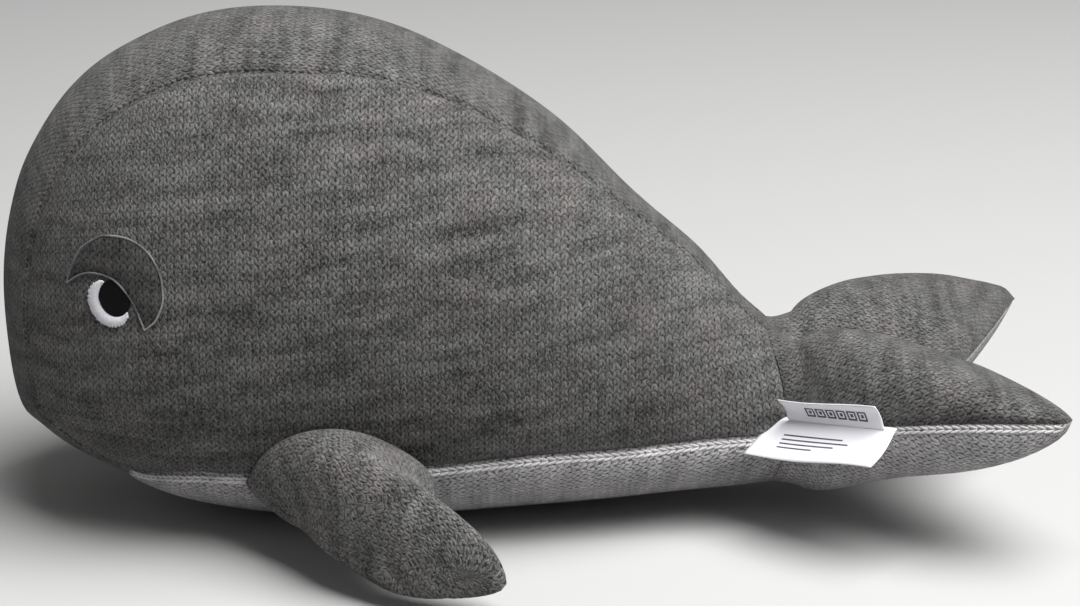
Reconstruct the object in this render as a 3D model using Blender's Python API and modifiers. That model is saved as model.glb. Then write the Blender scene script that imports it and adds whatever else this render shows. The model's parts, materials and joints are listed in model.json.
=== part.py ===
"""Plush whale: a stuffed knit toy with a blunt head, two flippers, a fluke, stitched eyes and a care label.

Metres, +Z up. The head faces -X and the toy's own left side is -Y. The origin is on the floor, at the
middle of the toy's length. Every form is sewn from knit panels over a filling, so each panel is an open
sheet with a thickness, and each filling is a closed form just inside it.
"""

import math
from collections import namedtuple
from functools import cache

import bmesh
import bpy
import numpy as np
from mathutils import Matrix, Vector

# Cloth and sewing. Points closer than a small share of the knit's thickness are one point.
KNIT_THICKNESS = 0.0014
SEAM_GAP = 0.0006
LINING_GAP = 0.0007
LINING_DEPTH = KNIT_THICKNESS + LINING_GAP
FILLING_SETBACK = 0.0036
END_TAPER = 0.001
WELD_SHARE = 0.01
WELD = KNIT_THICKNESS * WELD_SHARE

# Body, from the face to the seam that holds the tail
BODY_LENGTH = 0.2585
BODY_HEIGHT = 0.1715
BODY_WIDTH = 0.138
HEAD_REACH = 0.066
HEAD_MIDDLE_HEIGHT = 0.076
GUSSET_WIDTH = 0.072
FACE_GUSSET_WIDTH = 0.074

# Tail: its round root turns in the hollow end of the body
TAIL_ROOT_RADIUS = 0.026
TAIL_ROOT_WIDTH = 0.056
TAIL_HEIGHT = 0.0359
TAIL_RUNNING_GAP = 0.0006
TAIL_SWING = math.radians(20)
FLUKE_LENGTH = 0.085
FLUKE_SPAN = 0.142
FLUKE_RISE = 0.012
FLUKE_DIHEDRAL = 0.004
FLUKE_VALLEY_DEPTH = 0.009
FLUKE_VALLEY_WIDTH = 0.016
FLUKE_SWELL = 0.005
HEM_WIDTH = 0.0045
FLUKE_SLACK = 0.0008

# Flippers
FLIPPER_CHORD = 0.061
FLIPPER_REACH = 0.047
FLIPPER_THICKNESS = 0.032
FLIPPER_SINK = 0.019
FLIPPER_SWEEP = 0.041
FLIPPER_ROOT_START = 0.084
FLIPPER_TURN_GAP = 0.00095

# Eyes, stitched on the side panels ahead of the head's middle
PUPIL_WIDTH = 0.0104
PUPIL_HEIGHT = 0.0118
EYE_WHITE_WIDTH = 0.0040
EYE_SETBACK = 0.0454
EYE_HEIGHT = 0.0919
STITCH_THICKNESS = 0.0010
PATCH_GAP = 0.0003
LID_WIDTH = 0.0318
LID_HEIGHT = 0.0290
EDGING_THICKNESS = 0.0009

# Care label, a folded ribbon in the seam round the fluke's left side
LABEL_THICKNESS = 0.0005
LABEL_START = 0.003
LABEL_LENGTH = 0.044
LABEL_LOWER_WIDTH = 0.017
LABEL_UPPER_WIDTH = 0.0085
LABEL_LOWER_DROOP = math.radians(30)
LABEL_UPPER_LEAN = math.radians(72)
LABEL_CURL = 0.0012

# Places that follow from the sizes above
TAIL_SETBACK = TAIL_ROOT_RADIUS * math.sin(TAIL_SWING)
TOY_LENGTH = BODY_LENGTH + TAIL_SETBACK + FLUKE_LENGTH
FACE_X = -TOY_LENGTH / 2
HEAD_X = FACE_X + HEAD_REACH
BODY_END_X = FACE_X + BODY_LENGTH
TAIL_HINGE_X = BODY_END_X + TAIL_SETBACK

# The toy's outline from the side: shares of the body's length from the face and of its height, from the
# tail's top over the back, round the face and along the belly to the tail's underside.
OUTLINE_SHARES = (
    (1.000, 0.371), (0.960, 0.423), (0.905, 0.518), (0.820, 0.633), (0.720, 0.778), (0.603, 0.898),
    (0.487, 0.976), (0.371, 1.000), (0.255, 0.984), (0.158, 0.922), (0.090, 0.840), (0.040, 0.728),
    (0.014, 0.616), (0.000, 0.475), (0.002, 0.322), (0.014, 0.226), (0.037, 0.188), (0.081, 0.137),
    (0.158, 0.078),
    (0.255, 0.024), (0.371, -0.003),
    (0.526, -0.002), (0.681, 0.010), (0.836, 0.028), (1.000, 0.048),
)
# Along the body's length: half width, height of the widest line, and where the two seams run up the side.
WIDTH_SHARES = ((0.255, 0.97), (0.371, 1.00), (0.526, 0.98), (0.681, 0.88), (0.836, 0.68), (1.000, 0.445))
MIDDLE_SHARES = ((0.255, 1.00), (0.450, 0.99), (0.681, 0.86), (0.836, 0.68), (1.000, 0.473))
GUSSET_SHARES = (
    (0.400, 1.00), (0.525, 0.88), (0.655, 0.74), (0.730, 0.61), (0.800, 0.45), (0.860, 0.32), (0.930, 0.24),
    (1.000, 0.16),
)
BELLY_EDGE_SHARES = (
    (0.164, 0.34), (0.211, 0.48), (0.265, 0.555), (0.340, 0.585), (0.450, 0.615), (0.572, 0.65),
    (0.674, 0.69),
    (0.777, 0.73), (0.842, 0.775), (0.907, 0.838), (1.000, 0.94),
)
BODY_ROUNDNESS = 2.15
FACE_ROUNDNESS = 1.9
FAN_OVERLAP_SHARE = 0.25
CHIN_TURN_SHARE = 0.875

# How finely each sheet is divided, and how many places a smooth curve has for each given one
CURVE_FINENESS = 12
BACK_SPANS = 12
FACE_SPANS = 16
SIDE_ROWS = 5
STRIP_ROWS = 3
ROOT_SPANS = 4
SOCKET_SPANS = 12
SOCKET_STEPS = 32
FLUKE_SPANS = 9
FLUKE_ROWS = 6
FLIPPER_SPANS = 10
FLIPPER_ROWS = 4

# The fluke's outer edge, from its root to a tip: shares of its length and of half its span.
FLUKE_EDGE_SHARES = (
    (0.00, 0.394), (0.11, 0.545), (0.23, 0.70), (0.36, 0.825), (0.52, 0.925), (0.70, 0.985), (0.85, 1.00),
    (0.96, 0.975), (1.00, 0.90),
)
NOTCH_SHARE = 0.68
FLUKE_RISE_SHARE = 0.75
# How much fuller or flatter each face is than an even one, from the root to the trailing edge.
FLUKE_TOP_SHARES = (
    (0.00, 0.00), (0.10, 0.70), (0.25, 0.90), (0.42, 0.30), (0.60, -0.55), (0.75, -0.90),
    (0.90, -0.50), (1.00, 0.00),
)
FLUKE_UNDER_SHARES = (
    (0.00, 0.00), (0.10, 0.50), (0.25, 0.75), (0.42, 0.85), (0.60, 1.25), (0.75, 1.05),
    (0.90, 0.30), (1.00, 0.00),
)
FLUKE_ROUNDNESS = 2.8
FLUKE_TAPER = 1.8
ROOT_SHARE = 0.5
VALLEY_UNDER_SHARE = 0.33
HEM_TURN_SHARE = 0.7

# Each flipper from its seam to its tip: shares of its reach, sink, sweep, chord and thickness.
FLIPPER_SHARES = (
    (0.00, 0.00, 0.00, 1.00, 0.10),
    (0.12, 0.11, 0.08, 0.96, 0.44),
    (0.25, 0.05, 0.17, 0.87, 0.75),
    (0.40, -0.08, 0.27, 0.76, 0.97),
    (0.60, 0.11, 0.39, 0.70, 0.94),
    (0.78, 0.47, 0.62, 0.71, 0.81),
    (0.91, 0.76, 0.83, 0.62, 0.64),
    (0.98, 0.93, 0.97, 0.36, 0.41),
    (1.00, 0.98, 1.00, 0.14, 0.12),
)
FLIPPER_ROUNDNESS = 2.5

# The eyelid's two edges from its front corner to its rear one: shares of its width and height from the
# eye's middle.
LID_UPPER_SHARES = (
    (-0.510, 0.080), (-0.472, 0.217), (-0.400, 0.397), (-0.324, 0.510), (-0.208, 0.605), (-0.090, 0.662),
    (0.154, 0.652), (0.355, 0.517), (0.465, 0.300), (0.492, 0.107), (0.485, -0.034), (0.415, -0.214),
    (0.302, -0.328),
)
LID_LOWER_SHARES = (
    (-0.510, 0.080), (-0.365, 0.197), (-0.230, 0.245), (-0.050, 0.220), (0.072, 0.131), (0.198, -0.052),
    (0.264, -0.220), (0.302, -0.328),
)
LID_END_SHARE = 0.06
LID_INSET_LIMIT_SHARE = 0.4
LID_COLUMNS = 18
PATCH_ROWS = 3
PUPIL_COLUMNS = 10
# The white shows round the pupil's front and underside: its ends as turns from straight back, over the top.
WHITE_START = math.radians(126)
WHITE_END = math.radians(314)
WHITE_SWELL = 0.6

LABEL_COLUMNS = 8
LABEL_ROWS = 4

Rung = namedtuple("Rung", "rim_x rim_z side_x side_z half_width edge_share roundness")


def clear_scene():
    for obj in list(bpy.data.objects):
        bpy.data.objects.remove(obj, do_unlink=True)


def new_collection(name):
    collection = bpy.data.collections.new(name)
    bpy.context.scene.collection.children.link(collection)
    return collection


def material(name, colour, roughness):
    made = bpy.data.materials.new(name)
    made.use_nodes = True
    shader = made.node_tree.nodes["Principled BSDF"]
    shader.inputs["Base Color"].default_value = (*colour, 1)
    shader.inputs["Roughness"].default_value = roughness
    shader.inputs["Metallic"].default_value = 0
    return made


def smooth_curve(points, count):
    """Places, evenly spaced in number, on one smooth line through the points, with any number of columns."""
    points = [np.array(point, float) for point in points]
    padded = [2 * points[0] - points[1], *points, 2 * points[-1] - points[-2]]
    placed = []
    for at in np.linspace(0, len(points) - 1, count):
        span = min(int(at), len(points) - 2)
        before, start, end, after = padded[span : span + 4]
        part = at - span
        line = 2 * start + (end - before) * part
        bend = (2 * before - 5 * start + 4 * end - after) * part**2
        twist = (3 * start - before - 3 * end + after) * part**3
        placed.append((line + bend + twist) / 2)
    return np.array(placed)


def curve_at(curve, share):
    """The place at a share of the way along a finely divided curve."""
    at = share * (len(curve) - 1)
    return np.array([np.interp(at, range(len(curve)), column) for column in curve.T])


@cache
def fine_table(table):
    return smooth_curve(table, CURVE_FINENESS * len(table))


def read_table(table, at):
    columns = fine_table(table)
    return float(np.interp(at, columns[:, 0], columns[:, 1]))


def quarter(share, roundness):
    """A quarter of a rounded section: how far it still reaches to its rim, and how far out it has come."""
    turn = share * math.pi / 2
    return max(math.cos(turn), 0) ** (2 / roundness), math.sin(turn) ** (2 / roundness)


def share_at(reach, roundness):
    return math.asin(min(reach, 1) ** (roundness / 2)) / (math.pi / 2)


def new_object(name, mesh, finish, collection):
    obj = bpy.data.objects.new(name, mesh)
    obj.data.materials.append(finish)
    collection.objects.link(obj)
    return obj


def mesh_from_grids(name, grids):
    """One mesh from grids of points, each a list of rows. Points that meet are welded."""
    made = bmesh.new()
    for grid in grids:
        rows = [[made.verts.new(point) for point in row] for row in grid]
        for low, high in zip(rows, rows[1:]):
            for left in range(len(low) - 1):
                made.faces.new((low[left], low[left + 1], high[left + 1], high[left]))
    bmesh.ops.remove_doubles(made, verts=made.verts, dist=WELD)
    bmesh.ops.dissolve_degenerate(made, edges=made.edges, dist=WELD)
    mesh = bpy.data.meshes.new(name)
    made.to_mesh(mesh)
    made.free()
    mesh.shade_smooth()
    return mesh


def fill_ends(mesh):
    """Closes a form's open ends and turns all its faces outwards."""
    made = bmesh.new()
    made.from_mesh(mesh)
    bmesh.ops.holes_fill(made, edges=made.edges, sides=0)
    bmesh.ops.recalc_face_normals(made, faces=made.faces)
    if made.calc_volume(signed=True) < 0:
        bmesh.ops.reverse_faces(made, faces=made.faces)
    made.to_mesh(mesh)
    made.free()


def face_to(mesh, direction):
    """Turns an open sheet's faces to one side."""
    made = bmesh.new()
    made.from_mesh(mesh)
    if sum(face.normal.dot(direction) * face.calc_area() for face in made.faces) < 0:
        bmesh.ops.reverse_faces(made, faces=made.faces)
    made.to_mesh(mesh)
    made.free()


def give_thickness(obj, thickness, offset=-1):
    """Turns a sheet into cloth. Its faces are split first, so that it follows the filling under it."""
    obj.modifiers.new("Plain faces", "TRIANGULATE")
    wall = obj.modifiers.new("Thickness", "SOLIDIFY")
    wall.thickness = thickness
    wall.offset = offset


def lay_inside(filling):
    """Moves a filling's surface in from the panels' outer one."""
    shrink = filling.modifiers.new("Inside the panels", "DISPLACE")
    shrink.strength = -LINING_DEPTH
    shrink.mid_level = 0
    filling.modifiers.new("Plain faces", "TRIANGULATE")


# Body


@cache
def outline():
    """The toy's side outline as real places, tail's top first, and the index of its frontmost point."""
    places = fine_table(OUTLINE_SHARES) * (BODY_LENGTH, BODY_HEIGHT) + (FACE_X, 0)
    return places, int(np.argmin(places[:, 0]))


def length_share(x):
    return (x - FACE_X) / BODY_LENGTH


def half_width(x):
    return read_table(WIDTH_SHARES, length_share(x)) * BODY_WIDTH / 2


def middle_height(x):
    return read_table(MIDDLE_SHARES, length_share(x)) * HEAD_MIDDLE_HEIGHT


def gusset_edge(x, width):
    reach = read_table(GUSSET_SHARES, length_share(x)) * GUSSET_WIDTH / 2
    return share_at(reach / width, BODY_ROUNDNESS)


def ahead_share(turn):
    """How far a direction at the head's middle points forwards: 0 straight up or down, 1 straight ahead."""
    return math.sin(turn - math.pi / 2)


def face_roundness(turn):
    return BODY_ROUNDNESS + (FACE_ROUNDNESS - BODY_ROUNDNESS) * ahead_share(turn)


def face_gusset_edge(turn, width):
    reach = (GUSSET_WIDTH + (FACE_GUSSET_WIDTH - GUSSET_WIDTH) * ahead_share(turn)) / 2
    return share_at(reach / width, face_roundness(turn))


@cache
def face_fan():
    """Directions from the head's middle over the face, and how far the outline is in each."""
    places, _ = outline()
    overlap = HEAD_REACH * FAN_OVERLAP_SHARE
    ahead = places[places[:, 0] < HEAD_X + overlap] - (HEAD_X, HEAD_MIDDLE_HEIGHT)
    return np.arctan2(ahead[:, 1], ahead[:, 0]) % (2 * math.pi), np.hypot(ahead[:, 0], ahead[:, 1])


def belly_edge(x):
    return read_table(BELLY_EDGE_SHARES, length_share(x))


def body_rungs():
    """Lines from the outline to the widest line, tail's top first. Over the face they fan out."""
    places, front = outline()
    stations = np.linspace(BODY_END_X, HEAD_X, BACK_SPANS + 1)
    top = np.interp(stations, places[front::-1, 0], places[front::-1, 1])
    bottom = np.interp(stations, places[front:, 0], places[front:, 1])
    head_width = half_width(HEAD_X)
    turns, reaches = face_fan()
    rungs = []
    for x, z in zip(stations, top):
        width = half_width(x)
        rungs.append(Rung(x, z, x, middle_height(x), width, gusset_edge(x, width), BODY_ROUNDNESS))
    for step in range(1, FACE_SPANS):
        turn = math.pi / 2 + math.pi * step / FACE_SPANS
        reach = np.interp(turn, turns, reaches)
        x = HEAD_X + reach * math.cos(turn)
        z = HEAD_MIDDLE_HEIGHT + reach * math.sin(turn)
        under_chin = step > CHIN_TURN_SHARE * FACE_SPANS
        edge = belly_edge(x) if under_chin else face_gusset_edge(turn, head_width)
        rungs.append(Rung(x, z, HEAD_X, HEAD_MIDDLE_HEIGHT, head_width, edge, face_roundness(turn)))
    for x, z in zip(stations[::-1], bottom[::-1]):
        rungs.append(Rung(x, z, x, middle_height(x), half_width(x), belly_edge(x), BODY_ROUNDNESS))
    return rungs


def rung_point(rung, share, side):
    inward, outward = quarter(share, rung.roundness)
    x = rung.side_x + (rung.rim_x - rung.side_x) * inward
    z = rung.side_z + (rung.rim_z - rung.side_z) * inward
    return Vector((x, side * rung.half_width * outward, z))


def between(rung, other, share):
    """The rung at a share of the way to the other one."""
    return Rung(*(near + (far - near) * share for near, far in zip(rung, other)))


def drawn_in(rung):
    """The rung made smaller, for the edge of the filling's flat end."""
    share = END_TAPER / abs(rung.rim_z - rung.side_z)
    rim_z = rung.rim_z + (rung.side_z - rung.rim_z) * share
    return rung._replace(rim_z=rim_z, half_width=rung.half_width - END_TAPER)


def edge_with_gap(rung, away):
    """The seam's share on a rung, half a gap towards the side (away 1) or the strip (away -1)."""
    reach = math.hypot(rung.rim_x - rung.side_x, rung.rim_z - rung.side_z)
    return rung.edge_share + away * SEAM_GAP / 2 / (math.pi / 2 * (reach + rung.half_width) / 2)


def strip_grid(rungs):
    """A strip across the toy's middle, from the left seam to the right one."""
    grid = []
    for rung in rungs:
        edge = edge_with_gap(rung, -1)
        shares = [edge * row / STRIP_ROWS for row in range(-STRIP_ROWS, STRIP_ROWS + 1)]
        grid.append([rung_point(rung, abs(share), math.copysign(1, share)) for share in shares])
    return grid


def side_grid(rungs, side):
    grid = []
    for rung in rungs:
        edge = edge_with_gap(rung, 1)
        shares = [edge + (1 - edge) * row / SIDE_ROWS for row in range(SIDE_ROWS + 1)]
        grid.append([rung_point(rung, share, side) for share in shares])
    return grid


def whole_grid(rungs, side):
    grid = []
    for rung in rungs:
        strip = [rung.edge_share * row / STRIP_ROWS for row in range(STRIP_ROWS)]
        rest = [rung.edge_share + (1 - rung.edge_share) * row / SIDE_ROWS for row in range(SIDE_ROWS + 1)]
        grid.append([rung_point(rung, share, side) for share in strip + rest])
    return grid


def chin_index():
    return BACK_SPANS + int(CHIN_TURN_SHARE * FACE_SPANS)


def make_body(parts, cutters, finishes):
    rungs = body_rungs()
    chin = chin_index()
    for side, name in ((-1, "left"), (1, "right")):
        mesh = mesh_from_grids(f"side_panel_{name}", [side_grid(rungs, side)])
        face_to(mesh, Vector((0, side, 0)))
        give_thickness(new_object(f"side_panel_{name}", mesh, finishes["dark"], parts), KNIT_THICKNESS)
    mesh = mesh_from_grids("top_gusset", [strip_grid(rungs[: chin + 1])])
    face_to(mesh, Vector((0, 0, 1)))
    give_thickness(new_object("top_gusset", mesh, finishes["dark"], parts), KNIT_THICKNESS)
    ahead, behind = rungs[chin], rungs[chin + 1]
    chin_gap_share = SEAM_GAP / math.hypot(behind.rim_x - ahead.rim_x, behind.rim_z - ahead.rim_z)
    front = between(ahead, behind, chin_gap_share)._replace(edge_share=ahead.edge_share)
    mesh = mesh_from_grids("belly_panel", [strip_grid([front, *rungs[chin + 1 :]])])
    face_to(mesh, Vector((0, 0, -1)))
    belly = new_object("belly_panel", mesh, finishes["light"], parts)
    give_thickness(belly, KNIT_THICKNESS)
    cut_flat(belly, cutters)
    setback_share = FILLING_SETBACK / (BODY_END_X - HEAD_X) * BACK_SPANS
    top_end = between(rungs[0], rungs[1], setback_share)
    bottom_end = between(rungs[-1], rungs[-2], setback_share)
    inner = [drawn_in(top_end), *rungs[1:-1], drawn_in(bottom_end)]
    mesh = mesh_from_grids("body_filling", [whole_grid(inner, -1), whole_grid(inner, 1)])
    fill_ends(mesh)
    filling = new_object("body_filling", mesh, finishes["filling"], parts)
    lay_inside(filling)
    hollow = filling.modifiers.new("Tail socket", "BOOLEAN")
    hollow.operation = "DIFFERENCE"
    hollow.use_self = True
    hollow.object = tail_socket(cutters)


def cut_flat(belly, cutters):
    """The toy rests on its belly, which is pressed flat there."""
    made = bmesh.new()
    bmesh.ops.create_cube(made, size=1)
    bmesh.ops.scale(made, vec=(TOY_LENGTH, BODY_WIDTH, BODY_HEIGHT), verts=made.verts)
    bmesh.ops.translate(made, vec=(0, 0, -BODY_HEIGHT / 2), verts=made.verts)
    mesh = bpy.data.meshes.new("floor_cutter")
    made.to_mesh(mesh)
    made.free()
    cutter = bpy.data.objects.new("floor_cutter", mesh)
    hide_cutter(cutter, cutters)
    cut = belly.modifiers.new("Rest face", "BOOLEAN")
    cut.operation = "DIFFERENCE"
    cut.object = cutter


def hide_cutter(cutter, cutters):
    cutter.hide_render = True
    cutter.display_type = "WIRE"
    cutters.objects.link(cutter)


def tail_socket(cutters):
    """The round hollow that the tail's root turns in: a turned form about the hinge's line."""
    made = bmesh.new()
    radius = TAIL_ROOT_RADIUS + TAIL_RUNNING_GAP
    reach = TAIL_ROOT_WIDTH / 2 + TAIL_RUNNING_GAP
    previous = None
    for step in range(SOCKET_SPANS + 1):
        angle = math.pi * step / SOCKET_SPANS
        along, out = math.cos(angle), math.sin(angle)
        along = math.copysign(abs(along) ** (2 / BODY_ROUNDNESS), along)
        point = made.verts.new((radius * out ** (2 / BODY_ROUNDNESS), 0, reach * along))
        if previous:
            made.edges.new((previous, point))
        previous = point
    mesh = bpy.data.meshes.new("tail_socket_cutter")
    made.to_mesh(mesh)
    made.free()
    cutter = bpy.data.objects.new("tail_socket_cutter", mesh)
    cutter.location = (TAIL_HINGE_X, 0, TAIL_HEIGHT)
    cutter.rotation_euler = (math.pi / 2, 0, 0)
    turn = cutter.modifiers.new("Turn", "SCREW")
    turn.steps = turn.render_steps = SOCKET_STEPS
    turn.use_merge_vertices = True
    turn.merge_threshold = WELD
    hide_cutter(cutter, cutters)
    return cutter


# Eyes


def on_face(x, z, side, lift):
    """The point of the head's surface at a place in the side view, lifted off the surface."""
    turns, reaches = face_fan()

    def surface(x, z):
        turn = math.atan2(z - HEAD_MIDDLE_HEIGHT, x - HEAD_X) % (2 * math.pi)
        part = math.hypot(x - HEAD_X, z - HEAD_MIDDLE_HEIGHT) / np.interp(turn, turns, reaches)
        roundness = face_roundness(turn)
        return Vector((x, half_width(HEAD_X) * (1 - part**roundness) ** (1 / roundness), z))

    point = surface(x, z)
    normal = (surface(x, z + PATCH_GAP) - point).cross(surface(x + PATCH_GAP, z) - point).normalized()
    lifted = point + normal * lift
    return Vector((lifted.x, side * lifted.y, lifted.z))


def eye_outlines():
    """The outlines of the eye's pieces in the side view, as pairs of edges that run the same way."""
    middle = np.array((FACE_X + EYE_SETBACK, EYE_HEIGHT))
    clear = EDGING_THICKNESS / 2 + SEAM_GAP
    upper = smooth_curve(LID_UPPER_SHARES, LID_COLUMNS + 1) * (LID_WIDTH, LID_HEIGHT)
    lower = smooth_curve(LID_LOWER_SHARES, LID_COLUMNS + 1) * (LID_WIDTH, LID_HEIGHT)

    def pupil_reach(turn):
        """How far the pupil comes from its middle in a direction, ending short of the lid."""
        way = np.array((math.cos(turn), math.sin(turn)))
        reach = 1 / math.hypot(way[0] / (PUPIL_WIDTH / 2), way[1] / (PUPIL_HEIGHT / 2))
        for start, end in zip(lower, lower[1:]):
            across = np.array((start[1] - end[1], end[0] - start[0])) / math.dist(start, end)
            towards = across @ way
            if towards > 0:
                at = way * (across @ start - clear) / towards
                if min(start[0], end[0]) <= at[0] <= max(start[0], end[0]):
                    reach = min(reach, math.hypot(*at))
        return reach

    def pupil_point(turn, beyond):
        return np.array((math.cos(turn), math.sin(turn))) * (pupil_reach(turn) + beyond)

    columns = np.linspace(0, 1, PUPIL_COLUMNS + 1)
    front = [pupil_point(math.pi / 2 + math.pi * share, 0) for share in columns]
    rear = [pupil_point(math.pi / 2 - math.pi * share, 0) for share in columns]
    inner, outer = [], []
    for share in columns:
        turn = WHITE_START + (WHITE_END - WHITE_START) * share
        width = EYE_WHITE_WIDTH * math.sin(math.pi * share) ** WHITE_SWELL
        inner.append(pupil_point(turn, PATCH_GAP))
        outer.append(pupil_point(turn, PATCH_GAP + width))
    lid_low, lid_high = [], []
    for share in np.linspace(LID_END_SHARE, 1 - LID_END_SHARE, LID_COLUMNS + 1):
        high = curve_at(fine_table(LID_UPPER_SHARES), share) * (LID_WIDTH, LID_HEIGHT)
        low = curve_at(fine_table(LID_LOWER_SHARES), share) * (LID_WIDTH, LID_HEIGHT)
        inset = (high - low) * min(clear / math.dist(high, low), LID_INSET_LIMIT_SHARE)
        lid_low.append(low + inset)
        lid_high.append(high - inset)
    edging = list(lower) + list(upper[-2:0:-1])
    return {
        "pupil": (np.array(front) + middle, np.array(rear) + middle),
        "eye_white": (np.array(inner) + middle, np.array(outer) + middle),
        "eyelid": (np.array(lid_low) + middle, np.array(lid_high) + middle),
        "edging": np.array(edging) + middle,
    }


def make_patch(name, edges, side, thickness, finish, parts):
    """A flat-lying patch between two edges, on the head's surface."""
    grid = []
    for row in range(PATCH_ROWS + 1):
        places = edges[0] + (edges[1] - edges[0]) * row / PATCH_ROWS
        grid.append([on_face(x, z, side, PATCH_GAP) for x, z in places])
    mesh = mesh_from_grids(name, [grid])
    face_to(mesh, Vector((0, side, 0)))
    give_thickness(new_object(name, mesh, finish, parts), thickness, 1)


def make_edging(name, places, side, finish, parts):
    """A cord of stitches round the eyelid: one closed tube."""
    curve = bpy.data.curves.new(name, "CURVE")
    curve.dimensions = "3D"
    curve.bevel_depth = EDGING_THICKNESS / 2
    curve.bevel_resolution = 1
    line = curve.splines.new("POLY")
    line.points.add(len(places) - 1)
    for point, (x, z) in zip(line.points, places):
        point.co = (*on_face(x, z, side, PATCH_GAP + EDGING_THICKNESS / 2), 1)
    line.use_cyclic_u = True
    new_object(name, curve, finish, parts)


def make_eyes(parts, finishes):
    outlines = eye_outlines()
    for side, name in ((-1, "left"), (1, "right")):
        for piece, finish in (("eye_white", "white"), ("pupil", "black"), ("eyelid", "lid")):
            make_patch(f"{piece}_{name}", outlines[piece], side, STITCH_THICKNESS, finishes[finish], parts)
        make_edging(f"eyelid_edging_{name}", outlines["edging"], side, finishes["edging"], parts)


# Tail


def fluke_stations(inset):
    """Along the fluke: centre x, edge x and y, share of the way to the trailing edge.

    The inset is for the filling.
    """
    length = FLUKE_LENGTH - inset
    stations = []
    for way in np.linspace(0, 1, FLUKE_SPANS + 1):
        edge_x, edge_y = curve_at(fine_table(FLUKE_EDGE_SHARES), way) * (length, FLUKE_SPAN / 2)
        stations.append((NOTCH_SHARE * way * length, edge_x, edge_y - inset, way))
    return stations


def fluke_middle(x, y):
    """How far the fluke's middle surface stands above the hinge: it rises to the back and to both sides."""
    back = math.sin(math.pi / 2 * min(max(x, 0) / (FLUKE_RISE_SHARE * FLUKE_LENGTH), 1))
    to_sides = FLUKE_DIHEDRAL * (y / (FLUKE_SPAN / 2)) ** 2
    return FLUKE_RISE * back + to_sides * min(back / ROOT_SHARE, 1)


def hem_height(share):
    """How far a panel's hem lies above the middle surface: it stands on its edge where the form is full."""
    return SEAM_GAP / 2 + KNIT_THICKNESS * (1 - HEM_TURN_SHARE * min(share, 1))


def half_thickness(full, share, filled):
    """The height of a panel's hem above the middle surface, and how much higher its crown is."""
    outside = full * share
    if filled:
        return 0, max(outside - LINING_DEPTH - FLUKE_SLACK, 0)
    hem = hem_height(share)
    return hem, max(outside - hem, 0)


def fluke_grid(top, side, inset=0):
    """One face of one lobe: round the hinge, then out to the trailing edge, from the centre to its edge."""
    up = 1 if top else -1
    filled = inset > 0
    shares = [row / FLUKE_ROWS for row in range(FLUKE_ROWS + 1)]
    hem, crown = half_thickness(TAIL_ROOT_RADIUS, 1, filled)
    round_reach = TAIL_ROOT_RADIUS - (LINING_DEPTH if filled else 0)
    half = TAIL_ROOT_WIDTH / 2 - inset
    grid = []
    for step in range(ROOT_SPANS):
        turn = math.pi * (1 - step / ROOT_SPANS / 2)
        row = []
        for share in shares:
            inward, outward = quarter(share, BODY_ROUNDNESS)
            x = round_reach * inward * math.cos(turn)
            z = hem + crown * inward * math.sin(turn)
            row.append(Vector((TAIL_HINGE_X + x, side * half * outward, TAIL_HEIGHT + up * z)))
        grid.append(row)
    for centre_x, edge_x, edge_y, way in fluke_stations(inset):
        hem, crown = half_thickness(TAIL_ROOT_RADIUS, (1 - way**FLUKE_TAPER) ** (1 / FLUKE_TAPER), filled)
        past_root = math.sin(math.pi / 2 * min(way / ROOT_SHARE, 1))
        roundness = BODY_ROUNDNESS + (FLUKE_ROUNDNESS - BODY_ROUNDNESS) * past_root
        swell = FLUKE_SWELL * read_table(FLUKE_TOP_SHARES if top else FLUKE_UNDER_SHARES, way)
        row = []
        for share in shares:
            inward, outward = quarter(share, roundness)
            x = centre_x + (edge_x - centre_x) * outward
            y = edge_y * outward
            valley = FLUKE_VALLEY_DEPTH * math.sin(math.pi * way) * math.exp(-((y / FLUKE_VALLEY_WIDTH) ** 2))
            crest = crown + swell - valley * (1 if top else VALLEY_UNDER_SHARE)
            z = hem + max(crest, 0) * inward
            row.append(Vector((TAIL_HINGE_X + x, side * y, TAIL_HEIGHT + fluke_middle(x, y) + up * z)))
        grid.append(row)
    return grid


def mirrored_row_pair(left, right):
    return [list(reversed(a)) + b[1:] for a, b in zip(left, right)]


def make_tail(parts, finishes):
    hinge = hinge_empty("tail_hinge", Matrix.Translation((TAIL_HINGE_X, 0, TAIL_HEIGHT)), parts)
    for name, top in (("fluke_top_panel", True), ("fluke_under_panel", False)):
        grid = mirrored_row_pair(fluke_grid(top, -1), fluke_grid(top, 1))
        mesh = mesh_from_grids(name, [grid])
        face_to(mesh, Vector((0, 0, 1 if top else -1)))
        panel = new_object(name, mesh, finishes["dark" if top else "light"], parts)
        give_thickness(panel, KNIT_THICKNESS)
        hang_on(panel, hinge)
    for side, name in ((-1, "left"), (1, "right")):
        upper = fluke_grid(True, side, HEM_WIDTH)
        lower = fluke_grid(False, side, HEM_WIDTH)
        wall = [[a[0], b[0]] for a, b in zip(upper, lower)]
        mesh = mesh_from_grids(f"fluke_filling_{name}", [upper, lower, wall])
        fill_ends(mesh)
        for vertex in mesh.vertices:
            vertex.co.y += side * SEAM_GAP / 2
        filling = new_object(f"fluke_filling_{name}", mesh, finishes["filling"], parts)
        hang_on(filling, hinge)
    return hinge


def hinge_empty(name, matrix, parts):
    empty = bpy.data.objects.new(name, None)
    empty.matrix_world = matrix
    empty.empty_display_size = HEM_WIDTH
    parts.objects.link(empty)
    return empty


def hang_on(obj, hinge):
    """Parents a finished piece to its hinge and leaves it where it is, with its own origin on the hinge."""
    obj.data.transform(hinge.matrix_world.inverted())
    obj.parent = hinge


# Care label


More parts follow.
